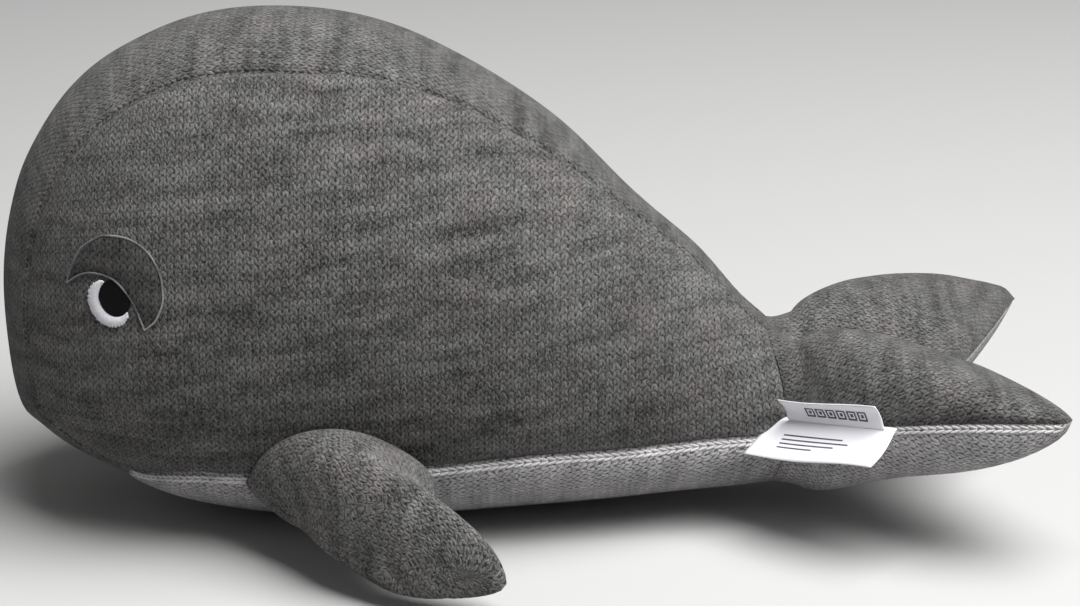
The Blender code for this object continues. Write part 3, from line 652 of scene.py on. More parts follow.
# The stitch pattern is shared by every knit piece: each stitch is a V of two plump legs, lying in columns.
stitch = bpy.data.node_groups.new("stocking_stitch", "ShaderNodeTree")
for name, value in (("Wale width", wale_width), ("Course height", course_height), ("Course slope", 0.0)):
    stitch.interface.new_socket(name=name, in_out="INPUT", socket_type="NodeSocketFloat").default_value = value
for name in ("Height", "Yarn", "Streak"):
    stitch.interface.new_socket(name=name, in_out="OUTPUT", socket_type="NodeSocketFloat")
given = node(stitch, "NodeGroupInput").outputs
cloth_place = node(stitch, "ShaderNodeUVMap", uv_map="knit").outputs[0]


def wandering(place, scale, reach):
    """A place moved about by noise, so that no two stitches lie alike."""
    moved = noise_in(stitch, cloth_place, scale, 1)["Color"]
    for operation, inputs in (("SUBTRACT", {1: (0.5, 0.5, 0.5)}), ("SCALE", {3: reach}), ("ADD", {1: place})):
        moved = node(stitch, "ShaderNodeVectorMath", {0: moved, **inputs}, operation=operation).outputs[0]
    return moved


def placed(across, along):
    return node(stitch, "ShaderNodeCombineXYZ", {0: across, 1: along}).outputs[0]


spots = node(stitch, "ShaderNodeSeparateXYZ", {0: wandering(wandering(cloth_place, 260, 0.0013), 1500, 0.0009)})
across, along = (Reading(stitch, socket) for socket in spots.outputs[:2])
along = (along - across * given["Course slope"]) / given["Course height"]
across = across / given["Wale width"]
from_column = (across.to("FRACT") - 0.5).to("ABSOLUTE") * 2
course = along - from_column * leg_slant
up_leg = course.to("FRACT")
off_leg = (from_column - up_leg.to("MULTIPLY_ADD", leg_drift, leg_foot)) / leg_half_width
leg_round = (1 - off_leg**2).to("MAXIMUM", 0).to("SQRT")
leg = leg_round * (up_leg * math.pi).to("SINE") ** 0.4
# Where two legs part at the top of a stitch, the knit is open and shows a dark dot.
dot = ((up_leg - dot_height) / dot_length) ** 2 + (from_column / dot_half_width) ** 2
dot = (dot * -1).to("EXPONENT")
leg_name = placed((across * 2).to("FLOOR"), course.to("FLOOR"))
leg_tone = node(stitch, "ShaderNodeTexWhiteNoise", {"Vector": leg_name}, noise_dimensions="2D").outputs["Value"]
leg_tone = Reading(stitch, leg_tone).to("MULTIPLY_ADD", 0.3, 0.35)
fibres = noise_in(stitch, placed(across * 5.5, along * 2.4), 1, 3, Roughness=0.7)["Fac"]
streak = noise_in(stitch, placed(across * 0.1, along * 0.42), 1, 3)["Fac"]
rough = Reading(stitch, fibres) - 0.5
node(stitch, "NodeGroupOutput", {"Height": rough.to("MULTIPLY_ADD", 0.9, leg - dot * 0.5),
                                 "Yarn": rough.to("MULTIPLY_ADD", 2.3, leg_tone), "Streak": streak})


def ranged(tree, value, low, high, start=0.0, end=1.0):
    """A value spread from one range over another, and held at its ends."""
    return node(tree, "ShaderNodeMapRange", {"Value": value, "From Min": low, "From Max": high, "To Min": start,
                                             "To Max": end}).outputs[0]


def knit(name, dark, light, tint, slope=0.0, relief=0.00042, sheen=0.12):
    """A heather knit: dark and light fibres are spun together, so each stitch is its own mix of the two."""
    made, tree = new_material(name, 0.92, sheen)
    pattern = node(tree, "ShaderNodeGroup", node_tree=stitch)
    pattern.inputs["Course slope"].default_value = slope
    height = pattern.outputs["Height"]
    mix = (Reading(tree, pattern.outputs["Streak"]) - 0.5).to("MULTIPLY_ADD", 1.1, pattern.outputs["Yarn"])
    patches = noise_in(tree, node(tree, "ShaderNodeTexCoord").outputs["Object"], 55, 2)["Fac"]
    tinted = mixed(tree, ranged(tree, patches, 0.5, 0.62), light, tint)
    yarn = mixed(tree, ranged(tree, mix, 0, 1), dark, tinted)
    fleck = tuple(min(1.9 * part, 0.9) for part in light)
    yarn = mixed(tree, ranged(tree, mix, 0.98, 1.5, 0, 0.6), yarn, fleck)
    groove = ranged(tree, height, 0, 0.75, 0.22)
    return finished(made, mixed(tree, 1.0, yarn, groove, blend_type="MULTIPLY"), height, relief)


heather = ((0.016, 0.016, 0.016), (0.245, 0.243, 0.234), (0.255, 0.238, 0.232))
dark_knit = knit("dark_heather_knit", *heather, course_slope)


def spaced(fine, columns):
    """Places along fine rows, crowded at the first point, where a seam is, and even from there to the last."""
    lengths = run_along(fine, axis=1)
    whole = lengths[:, -1:]
    near = np.array(seam_crowd) * np.minimum(whole / (3 * seam_crowd[-1]), 1)
    even = near[:, -1:] + (whole - near[:, -1:]) * np.linspace(0, 1, columns)[1:]
    distances = np.concatenate([near, even], axis=1)
    points = np.stack([read_at(*row) for row in zip(distances, lengths, fine)])
    return points, distances, whole - distances


def two_sided(left, right):
    """One grid from two sets of rows that start at opposite seams and end on one line."""
    signs = (1, 1, -1)
    pairs = zip(signs, left, right)
    return tuple(np.concatenate([sign * one, other[:, -2::-1]], axis=1) for sign, one, other in pairs)


def rolled(points, normals, from_seam):
    """The cloth as stuffed and sewn: it lies over the lumps and rolls down into each seam, puckered by the thread."""
    moved = points.copy()
    for at in np.ndindex(points.shape[:2]):
        pucker = 1 + pucker_share * noise.noise(Vector(points[at]) / pucker_size)
        dip = seam_dip * pucker * math.exp(-((from_seam[at] / seam_roll) ** 2))
        moved[at] = points[at] + normals[at] * (lump(points[at]) - dip)
    moved[..., 2] = np.maximum(moved[..., 2], rest_height)
    return moved


def turned_in(points, normals, places, columns, rows, row_distance):
    """Adds the cloth that is turned in past each seam. Columns and rows name the sides that are seams: 0 or -1. The
    turnings taper off towards the rows' ends, so that they don't cross there."""
    depths = {1: seam_turning * np.clip(row_distance / taper_length, 0, 1)[:, None, None], 0: seam_turning}
    for axis, sides in ((1, columns), (0, rows)):
        for side in sides:
            edge, normal, spot = [np.take(grid, [side], axis=axis) for grid in (points, normals, places)]
            edge = edge - normal * depths[axis]
            order = (lambda new, old: (new, old)) if side == 0 else (lambda new, old: (old, new))
            points = np.concatenate(order(edge, points), axis=axis)
            normals = np.concatenate(order(normal, normals), axis=axis)
            places = np.concatenate(order(spot, places), axis=axis)
    return points, places


def apply_modifiers(obj):
    shaped = obj.evaluated_get(bpy.context.evaluated_depsgraph_get())
    mesh = bpy.data.meshes.new_from_object(shaped)
    obj.modifiers.clear()
    obj.data = mesh


def thicken(sheet, thickness, offset=-1, share=""):
    """Gives a sheet its thickness, or that share of it which a vertex group tells."""
    wall = sheet.modifiers.new("Wall", "SOLIDIFY")
    wall.thickness, wall.offset, wall.vertex_group = thickness, offset, share
    apply_modifiers(sheet)


def bowed(points):
    """The stuffing draws the seam between body and tail back at the sides."""
    level = np.clip(1 - ((points[..., 2] - tail_height) / tail_root_radius) ** 2, 0, 1)
    near = np.exp(-(((points[..., 0] - body_end_x) / seam_bow_length) ** 2))
    return points + (seam_bow * level * near)[..., None] * (1, 0, 0)


def sewn_skin(name, grid, places, middle, finish, columns, rows, row_distance, keep_outside=None, roll=0.0,
              corners=()):
    """A panel of knit as it lies on the toy: stuffed, puckered at its seams, turned in past them, and as thick as
    the knit. Roll is how far it bulges just inside its long seams. At the corners it is pressed thin."""
    points, from_seam = bowed(grid[0]), grid[1]
    from_seam = np.minimum(from_seam, end_seam_ease + row_distance[:, None])
    normals = grid_normals(points, np.array(middle))
    for corner in corners:
        from_corner = np.linalg.norm(points - points[corner], axis=-1)
        from_seam = from_seam + seam_roll * 3 * np.clip(1 - from_corner / corner_reach, 0, 1)
    bulge = roll * grid[1] / roll_at * np.exp(1 - grid[1] / roll_at)
    bulge = bulge * np.clip(row_distance / roll_ease, 0, 1)[:, None] ** 0.5
    points = rolled(points + normals * bulge[..., None], normals, from_seam)
    if keep_outside:
        points = keep_outside(points)
    sewn, spots = turned_in(points, normals, places, columns, rows, row_distance)
    skin = formed(name, sewn, finish, spots, middle)
    area = sum(face.area for face in skin.data.polygons)
    if corners:
        tips = [Vector(points[corner]) for corner in corners]
        group = skin.vertex_groups.new(name="thickness")
        for vertex in skin.data.vertices:
            nearest = min((vertex.co - tip).length for tip in tips)
            group.add([vertex.index], min(max(nearest / corner_reach, corner_thinness), 1), "REPLACE")
    thicken(skin, cloth_thickness, share="thickness" if corners else "")
    return skin, area, points, normals


def cut_from(width, length, area):
    """The flat piece that a panel is cut from, at least as long as its area needs, and its area."""
    return {"flat": (width, max(length, area / width)), "area": area}


fine_steps = np.linspace(0, 1, 241)
seams = seam_share(body_sections)[:, None]
back_end_distance = np.where(
    (body_sections.turn > math.pi / 2) & (body_sections.turn < 3 * math.pi / 2), body_length,
    np.abs(body_sections.rim[:, 0] - body_end_x),
)
side_columns = 46
direction = np.stack([np.cos(body_sections.turn), np.sin(body_sections.turn)], axis=-1)

for hand, name in ((-1, "left"), (1, "right")):
    grid = spaced(body_sections.points(seams + (1 - seams) * fine_steps, hand), side_columns)
    places = body_sections.side[:, None, :] + direction[:, None, :] * grid[2][..., None]
    skin, area, _, _ = sewn_skin(f"side_skin_{name}", grid, places, body_middle, dark_knit, (0,), (0, -1),
                                 back_end_distance)
    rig.ride(skin, "body")
    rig.replaces(skin, f"side_panel_{name}")
    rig.slot(skin, "dark_knit")
    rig.sheet(skin, held="stretched", rests_on=[body_stuffing], **cut_from(body_height, body_length, area))


# Top gusset. One long strip of the same knit over the back and down the face to the chin, with its columns of
# stitches running along it. It is widest over the head and tapers to the tail.
gusset_knit = knit("gusset_heather_knit", *heather)


def strip(keep, columns):
    """A strip between the two side seams, its places on the cloth, and how far each row is from an end."""
    part, shares = body_sections.part(keep), seams[keep] * (1 - fine_steps)
    grid = two_sided(*(spaced(part.points(shares, hand), columns) for hand in (-1, 1)))
    along = run_along(part.rim)
    places = np.stack([grid[2], np.broadcast_to(along[:, None], grid[2].shape)], axis=-1)
    return grid, places, np.minimum(along, along[-1] - along), along[-1]


over_back = body_sections.turn <= chin_turn + 1e-9
grid, places, row_distance, length = strip(over_back, 18)
back_skin, area, _, _ = sewn_skin("back_skin", grid, places, body_middle, gusset_knit, (0, -1), (0, -1), row_distance)
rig.ride(back_skin, "body")
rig.replaces(back_skin, "top_gusset")
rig.slot(back_skin, "dark_knit")
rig.sheet(back_skin, held="stretched", rests_on=[body_stuffing], **cut_from(face_gusset_width, length, area))


# Belly panel. A light grey knit strip from the chin to the tail, pressed flat in the middle where the toy lies.
# Its outermost column of stitches stands out along each seam as a fine braid of light yarn.
braid_stitch_length = 0.0027
braid_width = 0.0022
braid_yarn = 0.00095
belly_roll = 0.0026
light_knit = knit("light_heather_knit", (0.33, 0.32, 0.325), (0.83, 0.81, 0.815), (0.80, 0.76, 0.78), relief=0.0006)


def yarn_material(name, colour, roughness=0.75, sheen=0.1, worn=0.6):
    """Spun thread: fine streaks of lighter and darker fibre along it. Worn is how dark its darkest lengths are."""
    made, tree = new_material(name, roughness, sheen)
    where = node(tree, "ShaderNodeTexCoord").outputs["Object"]
    streaks = Reading(tree, noise_in(tree, where, 1500, 2)["Fac"])
    lengths = ranged(tree, noise_in(tree, where, 95, 1)["Fac"], 0.4, 0.6)
    bright = Reading(tree, lengths).to("MULTIPLY_ADD", 1 - worn, worn) * streaks.to("MULTIPLY_ADD", 0.4, 0.75)
    return finished(made, mixed(tree, bright, (0, 0, 0), colour), streaks, 0.0001)


# Every thread on the toy comes from one tree: it turns each edge of a mesh into a length of thread that arches up
# from the cloth and thins towards its ends, where the needle went in.
thread_tree = bpy.data.node_groups.new("threads", "GeometryNodeTree")
thread_sockets = {}
for name, kind in (("Stitches", "Geometry"), ("Width", "Float"), ("Rise", "Float"), ("Thinning", "Float"),
                   ("Spans", "Int"), ("Sides", "Int"), ("Finish", "Material")):
    socket = thread_tree.interface.new_socket(name=name, in_out="INPUT", socket_type=f"NodeSocket{kind}")
    thread_sockets[name] = socket.identifier
thread_tree.interface.new_socket(name="Threads", in_out="OUTPUT", socket_type="NodeSocketGeometry")
asked = node(thread_tree, "NodeGroupInput").outputs
lines = node(thread_tree, "GeometryNodeMeshToCurve", {"Mesh": asked["Stitches"]})
lines = node(thread_tree, "GeometryNodeResampleCurve", {"Curve": lines.outputs[0], "Count": asked["Spans"]})
part = Reading(thread_tree, node(thread_tree, "GeometryNodeSplineParameter").outputs["Factor"])
arch = (part * math.pi).to("SINE") * asked["Rise"]
lift = node(thread_tree, "GeometryNodeInputNamedAttribute", {"Name": "lift"}, data_type="FLOAT_VECTOR").outputs[0]
lift = node(thread_tree, "ShaderNodeVectorMath", {0: lift, 3: arch}, operation="SCALE").outputs[0]
lines = node(thread_tree, "GeometryNodeSetPosition", {"Geometry": lines.outputs[0], "Offset": lift})
thinned = part.to("MULTIPLY_ADD", 2, -1).to("ABSOLUTE") ** 3 * asked["Thinning"]
radius = (1 - thinned) * asked["Width"] * 0.5
ring = node(thread_tree, "GeometryNodeCurvePrimitiveCircle", {"Resolution": asked["Sides"], "Radius": 1.0})
tube = node(thread_tree, "GeometryNodeCurveToMesh", {"Curve": lines.outputs[0], "Profile Curve": ring.outputs[0],
                                                     "Scale": radius, "Fill Caps": True})
tube = node(thread_tree, "GeometryNodeSetShadeSmooth", {"Geometry": tube.outputs[0]})
tube = node(thread_tree, "GeometryNodeRealizeInstances", {"Geometry": tube.outputs[0]})
tube = node(thread_tree, "GeometryNodeSetMaterial", {"Geometry": tube.outputs[0], "Material": asked["Finish"]})
node(thread_tree, "NodeGroupOutput", {"Threads": tube.outputs[0]})


def make_threads(name, ends, lifts, width, finish, rise=0.0, thinning=0.5, spans=5, sides=6):
    """Threads between pairs of points, each pair with the direction that it arches in."""
    mesh = bpy.data.meshes.new(name)
    mesh.from_pydata([point for pair in ends for point in pair], [(2 * n, 2 * n + 1) for n in range(len(ends))], [])
    attribute = mesh.attributes.new("lift", "FLOAT_VECTOR", "POINT")
    attribute.data.foreach_set("vector", np.repeat(np.array(lifts, float), 2, axis=0).ravel())
    obj = place(name, mesh, finish)
    sewing = obj.modifiers.new("Threads", "NODES")
    sewing.node_group = thread_tree
    for socket, value in (("Width", width), ("Rise", rise), ("Thinning", thinning), ("Spans", spans),
                          ("Sides", sides), ("Finish", finish)):
        sewing[thread_sockets[socket]] = value
    apply_modifiers(obj)
    return obj


def braid_stitches(line, normals, towards):
    """Pairs of points for a chain of V stitches along a line on the cloth. Towards points away from the seam."""
    lengths = run_along(line)
    count = max(int(lengths[-1] / braid_stitch_length), 1)
    stops = np.linspace(0, lengths[-1], count + 1)
    at, up, aside = (read_at(stops, lengths, column) for column in (line, normals, towards))
    ends, lifts = [], []
    for start in range(count):
        for side in (-1, 1):
            outer = at[start] + aside[start] * side * braid_width / 2
            inner = at[start + 1] + (at[start + 1] - at[start]) * 0.12 + aside[start + 1] * side * braid_yarn * 0.3
            ends.append((outer, inner))
            lifts.append(up[start])
    return ends, lifts


light_yarn = yarn_material("light_grey_yarn", (0.78, 0.76, 0.77), 0.85, 0.2, 0.75)
braid_column = 4
braid_start = 3
under_belly = body_sections.turn >= chin_turn - 1e-9
grid, places, row_distance, length = strip(under_belly, 16)
above_belly = (0, 0, body_height)
belly_skin, area, points, normals = sewn_skin("belly_skin", grid, places, above_belly, light_knit, (0, -1), (0, -1),
                                              row_distance, roll=belly_roll)
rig.ride(belly_skin, "body")
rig.replaces(belly_skin, "belly_panel")
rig.slot(belly_skin, "light_knit")
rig.sheet(belly_skin, held="stretched", rests_on=[body_stuffing], **cut_from(body_width, length, area))


def seam_braid(name, points, normals, side, left_off):
    """The braid along one long side of a panel: side is 0 or -1. It leaves off that many rows before the end."""
    column, inner = (braid_column, braid_column + 1) if side == 0 else (-1 - braid_column, -2 - braid_column)
    towards = unit(points[:, inner] - points[:, column])
    sewn = slice(braid_start, -left_off)
    ends, lifts = braid_stitches(points[sewn, column], normals[sewn, column], towards[sewn])
    return make_threads(name, ends, lifts, braid_yarn, light_yarn, rise=0.0001, thinning=0.45)


for side, name in ((0, "left"), (-1, "right")):
    braid = seam_braid(f"belly_braid_{name}", points, normals, side, 3)
    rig.ride(braid, "body")
    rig.slot(braid, "light_knit")


# Eyes. Each is embroidered through the knit: a black pupil in satin stitch, a white crescent round its front and
# foot, and over them a heavy lid, a smooth darker patch held down by a close zigzag of light grey thread.
eye_setback = 0.0454
eye_height = 0.0919
pupil_width, pupil_height = 0.0104, 0.0118
crescent_width = 0.0040
crescent_start, crescent_end = math.radians(126), math.radians(314)
crescent_swell = 0.6
lid_width, lid_height = 0.0318, 0.0290
lid_upper_shares = (
    (-0.510, 0.080), (-0.472, 0.217), (-0.400, 0.397), (-0.324, 0.510), (-0.208, 0.605), (-0.090, 0.662),
    (0.154, 0.652), (0.355, 0.517), (0.465, 0.300), (0.492, 0.107), (0.485, -0.034), (0.415, -0.214),
    (0.302, -0.328),
)
lid_lower_shares = (
    (-0.510, 0.080), (-0.365, 0.197), (-0.230, 0.245), (-0.050, 0.220), (0.072, 0.131), (0.198, -0.052),
    (0.264, -0.220), (0.302, -0.328),
)
lid_swell = 0.0007
lid_clear = 0.0006
lid_lift = 0.0006
lid_inset = 0.0003
pupil_dome = 0.0006
crescent_gap = 0.0002
satin_thread = 0.00048
satin_spacing = 0.00036
ragged = 0.0004
zigzag_width = 0.00055
zigzag_spacing = 0.00042
zigzag_thread = 0.00034
patch_height = 0.0004
eye_middle = np.array((face_x + eye_setback, eye_height))


def on_face(places, hand, lift):
    """Points of the head's surface at places in the side view, lifted off it, and its normals there."""
    def surface(at):
        offset = at - (head_x, head_middle_height)
        turn = np.arctan2(offset[..., 1], offset[..., 0]) % (2 * math.pi)
        part = np.hypot(offset[..., 0], offset[..., 1]) / face_outline_reach(turn)
        roundness = roundness_at(turn)
        out = half_width(head_x) * (1 - part**roundness) ** (1 / roundness)
        return np.stack([at[..., 0], out, at[..., 1]], axis=-1)

    places = np.asarray(places, float)
    step = 0.0003
    points = surface(places)
    normals = unit(np.cross(surface(places + (0, step)) - points, surface(places + (step, 0)) - points))
    points, normals = points * (1, hand, 1), normals * (1, hand, 1)
    lumps = np.array([lump(point) for point in points.reshape(-1, 3)]).reshape(points.shape[:-1])
    return points + normals * (lift + lumps)[..., None], normals


def patch(name, grid_places, lifts, hand, finish, thickness):
    """A patch that lies on the head, from a grid of places in the side view."""
    points, _ = on_face(grid_places, hand, lifts)
    made = formed(name, points, finish, grid_places, body_middle)
    thicken(made, thickness)
    return made


def joined(name, *objs):
    """One mesh of several, under a new name."""
    made = bmesh.new()
    for obj in objs:
        made.from_mesh(obj.data)
    mesh = bpy.data.meshes.new(name)
    made.to_mesh(mesh)
    made.free()
    finish = objs[0].data.materials[0]
    for obj in objs:
        bpy.data.objects.remove(obj)
    return place(name, mesh, finish)


lid_upper = smooth_curve(lid_upper_shares) * (lid_width, lid_height)
lid_lower = smooth_curve(lid_lower_shares) * (lid_width, lid_height)


def pupil_reach(turns):
    """How far the pupil comes from its middle in each direction, ending short of the lid."""
    ways = np.stack([np.cos(turns), np.sin(turns)], axis=-1)
    reach = 1 / np.hypot(ways[:, 0] / (pupil_width / 2), ways[:, 1] / (pupil_height / 2))
    starts, ends = lid_lower[:-1], lid_lower[1:]
    normals = unit(np.stack([starts[:, 1] - ends[:, 1], ends[:, 0] - starts[:, 0]], axis=-1))
    for way_at, way in enumerate(ways):
        towards = normals @ way
        with np.errstate(divide="ignore", invalid="ignore"):
            hits = ((normals * starts).sum(axis=1) - lid_clear) / towards
        xs = hits * way[0]
        low, high = np.minimum(starts[:, 0], ends[:, 0]), np.maximum(starts[:, 0], ends[:, 0])
        hit = (towards > 0) & (xs >= low) & (xs <= high)
        reach[way_at] = min([reach[way_at], *np.abs(hits[hit])])
    return reach


def round_pupil(turns, beyond):
    return np.stack([np.cos(turns), np.sin(turns)], axis=-1) * (pupil_reach(turns) + beyond)[:, None]


black_thread = yarn_material("black_embroidery_thread", (0.006, 0.006, 0.007), 0.45, 0)
white_thread = yarn_material("white_embroidery_thread", (0.93, 0.92, 0.97), 0.5, 0.1, 0.95)
grey_thread = yarn_material("grey_embroidery_thread", (0.36, 0.36, 0.37), 0.6, 0.1, 0.35)
lid_cloth = knit("dark_lid_cloth", (0.020, 0.020, 0.020), (0.115, 0.114, 0.110), (0.12, 0.113, 0.11), relief=0.00016)
rng = np.random.default_rng(7)


def satin(name, starts, ends, hand, finish, base):
    """Satin stitches side by side over a thin pad of the same thread."""
    starts, normals = on_face(starts, hand, patch_height)
    ends, _ = on_face(ends, hand, patch_height)
    threads = make_threads(name + "_threads", list(zip(starts, ends)), normals, satin_thread, finish, rise=0.00035,
                           thinning=0.35, spans=7)
    return joined(name, threads, base)


for hand, name in ((-1, "left"), (1, "right")):
    turns = np.linspace(0, 2 * math.pi, 181)
    outline_places = round_pupil(turns, 0)
    rings = np.linspace(0, 1, 7)[:, None, None] * outline_places[None, :, :]
    domes = pupil_dome * np.sqrt(1 - 0.9 * np.linspace(0, 1, 7) ** 2)[:, None] * np.ones(len(turns))
    pad = patch(f"pupil_pad_{name}", rings + eye_middle, domes, hand, black_thread, 0.0005)
    columns = np.arange(outline_places[:, 0].min() + satin_spacing / 2, outline_places[:, 0].max(), satin_spacing)
    upper, lower = outline_places[turns <= math.pi], outline_places[turns >= math.pi]
    tops = np.interp(columns, upper[::-1, 0], upper[::-1, 1]) + rng.uniform(-0.3, 1, len(columns)) * ragged / 2
    feet = np.interp(columns, lower[:, 0], lower[:, 1]) - rng.uniform(-0.3, 1, len(columns)) * ragged / 2
    pupil = satin(f"pupil_stitches_{name}", np.stack([columns, feet], axis=-1) + eye_middle,
                  np.stack([columns, tops], axis=-1) + eye_middle, hand, black_thread, pad)
    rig.ride(pupil, "body")
    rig.replaces(pupil, f"pupil_{name}")
    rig.slot(pupil, "black_thread")

    shares = np.linspace(0, 1, 76)
    turns = crescent_start + (crescent_end - crescent_start) * shares
    widths = crescent_width * np.sin(math.pi * shares) ** crescent_swell
    inner, outer = round_pupil(turns, crescent_gap), round_pupil(turns, crescent_gap + widths)
    rows = inner + np.linspace(0, 1, 5)[:, None, None] * (outer - inner)
    pad = patch(f"crescent_pad_{name}", rows + eye_middle, np.full(rows.shape[:2], patch_height), hand, white_thread,
                patch_height)
    uneven = rng.uniform(-0.4, 1, (len(shares), 1)) * ragged
    outer = outer + unit(outer - inner) * uneven
    crescent = satin(f"crescent_stitches_{name}", inner[1:-1] + eye_middle, outer[1:-1] + eye_middle, hand,
                     white_thread, pad)
    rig.ride(crescent, "body")
    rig.replaces(crescent, f"eye_white_{name}")
    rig.slot(crescent, "white_thread")

    shares = np.linspace(0.02, 0.98, 61)
    high, low = curve_at(lid_upper, shares), curve_at(lid_lower, shares)
    inset = (high - low) * np.minimum(lid_inset / np.linalg.norm(high - low, axis=1), 0.4)[:, None]
    high, low = high - inset, low + inset
    rows = low + np.linspace(0, 1, 15)[:, None, None] * (high - low)
    thick = lid_swell * (1 - np.abs(np.linspace(-1, 1, 15)) ** 3)[:, None] * np.sin(math.pi * shares) ** 0.4
    lid = patch(f"eyelid_cloth_{name}", rows + eye_middle, lid_lift + thick, hand, lid_cloth, 0.0007)
    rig.ride(lid, "body")
    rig.replaces(lid, f"eyelid_{name}")
    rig.slot(lid, "lid_cloth")

    rim = np.concatenate([lid_lower, lid_upper[-2:0:-1], lid_lower[:1]])
    lengths = run_along(rim)
    along = read_at(np.arange(0, lengths[-1], zigzag_spacing), lengths, rim)
    tangent = unit(np.roll(along, -1, axis=0) - np.roll(along, 1, axis=0))
    across = np.stack([-tangent[:, 1], tangent[:, 0]], axis=-1) * zigzag_width / 2
    starts, normals = on_face(along - across + eye_middle, hand, lid_lift)
    ends, _ = on_face(along + across + tangent * zigzag_spacing / 2 + eye_middle, hand, lid_lift)
    edging = make_threads(f"eyelid_zigzag_{name}", list(zip(starts, ends)), normals, zigzag_thread, grey_thread,
                          rise=0.0003, thinning=0.3, spans=4, sides=5)
    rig.ride(edging, "body")
    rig.replaces(edging, f"eyelid_edging_{name}")
    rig.slot(edging, "grey_thread")


# Tail. The fluke is sewn to the end of the body: a full round root that spreads into two flat lobes with a notch
# between them. Its top is dark knit and its underside light, with the seam right round its edge.
tail_hinge_x = body_end_x + tail_setback
tail_give = 0.018
lobe_clear = 0.0003
fluke_span = 0.142
fluke_rise = 0.012
fluke_rise_share = 0.75
fluke_dihedral = 0.004
valley_depth = 0.009
valley_width = 0.016
valley_under_share = 0.33
crease_depth = 0.0042
crease_width = 0.0065
crease_from = 0.012
early_valley = 0.15
fluke_swell = 0.005
shoulder_height = 0.0042
shoulder_at = 0.013
shoulder_parting = 0.014
root_swell_under = 0.0022
notch_share = 0.68
root_share = 0.5
fluke_roundness = 2.8
fluke_taper = 1.8
fluke_edge_shares = (
    (0.00, 0.52), (0.11, 0.62), (0.23, 0.72), (0.36, 0.825), (0.52, 0.925), (0.70, 0.985), (0.85, 1.00),
    (0.96, 0.975), (1.00, 0.90),
)
fluke_top_shares = (
    (0.00, 0.00), (0.10, 0.30), (0.25, 0.50), (0.42, 0.15), (0.60, -0.55), (0.75, -0.90), (0.90, -0.50), (1.00, 0.00),
)
fluke_under_shares = (
    (0.00, 0.00), (0.10, 0.50), (0.25, 0.75), (0.42, 0.85), (0.60, 1.25), (0.75, 1.05), (0.90, 0.30), (1.00, 0.00),
)
fluke_rows = 44
fluke_edge = smooth_curve(fluke_edge_shares)
fluke_top_swell = reader(fluke_top_shares)
fluke_under_swell = reader(fluke_under_shares)


def fluke_middle(x, y):
    """How far the fluke's middle surface stands above the hinge: it rises to the back and to both sides."""
    back = np.sin(math.pi / 2 * np.clip(x / (fluke_rise_share * fluke_length), 0, 1))
    to_sides = fluke_dihedral * (y / (fluke_span / 2)) ** 2
    return fluke_rise * back + to_sides * np.minimum(back / root_share, 1)


def fluke_stations():
    """Rows along the fluke: x from the hinge where the row is on the root, share of the way to the trailing edge,
    and the distance from the row to the nearer of the two seams at its ends."""
    root = np.array(list(seam_crowd) + list(np.linspace(seam_crowd[-1], tail_setback, 4)[1:]))
    end_rate = tail_root_radius * math.pi / 2
    steps = np.concatenate([np.linspace(0, 1 - seam_crowd[-1] / end_rate, fluke_rows)[1:],
                            1 - np.array(seam_crowd[-2::-1]) / end_rate])
    ways = np.sin(math.pi / 2 * steps) ** (2 / fluke_taper)
    xs = np.concatenate([root - tail_setback, np.zeros(len(ways))])
    from_start = np.concatenate([root, tail_setback + ways * fluke_length])
    from_end = np.concatenate([np.full(len(root), fluke_length), (1 - steps) * end_rate])
    return xs, np.concatenate([np.zeros(len(root)), ways]), from_start, from_end


def fluke_face(top, hand, shares, inset=0.0):
    """Points of one face of one lobe, from its rim to the fluke's middle line."""
    xs, ways, from_start, _ = fluke_stations()
    length = fluke_length - inset
    edge = curve_at(fluke_edge, ways) * (length, fluke_span / 2)
    centre_x = notch_share * ways * length + xs
    edge_x = edge[:, 0] + xs
    on_root = np.clip(-xs / tail_setback, 0, 1)
    swell = (from_start / shoulder_at * np.exp(1 - from_start / shoulder_at)) ** 2
    edge_y = edge[:, 1] + (half_width(body_end_x) - edge[0, 1]) * on_root - inset
    full = tail_root_radius + (float(top_height(body_end_x)) - tail_height - tail_root_radius) * on_root**1.5
    full = full * (1 - ways**fluke_taper) ** (1 / fluke_taper)
    roundness = body_roundness + (fluke_roundness - body_roundness) * np.sin(
        math.pi / 2 * np.minimum(ways / root_share, 1))
    bulge = fluke_swell * (fluke_top_swell(ways) if top else fluke_under_swell(ways))
    inward, outward = quarter(shares[None, :], roundness[:, None])
    x = centre_x[:, None] + (edge_x - centre_x)[:, None] * outward
    y = edge_y[:, None] * outward
    begun = np.minimum(from_start / crease_from, 1)
    parting = np.sin(math.pi * np.maximum(ways, early_valley * begun))
    valley = valley_depth * parting[:, None] * np.exp(-((y / valley_width) ** 2))
    crease = crease_depth * (begun * np.sqrt(1 - ways))[:, None] * np.exp(-((y / crease_width) ** 2))
    valley = valley + (crease if top else 0)
    shoulder = shoulder_height * (1 - np.exp(-((y / shoulder_parting) ** 2))) if top else root_swell_under
    crest = full[:, None] + (bulge[:, None] - valley * (1 if top else valley_under_share)) + shoulder * swell[:, None]
    crest = crest - inset
    z = fluke_middle(x, y) + (1 if top else -1) * np.maximum(crest, 0) * inward
    return np.stack([tail_hinge_x + x, hand * y, tail_height + z], axis=-1)


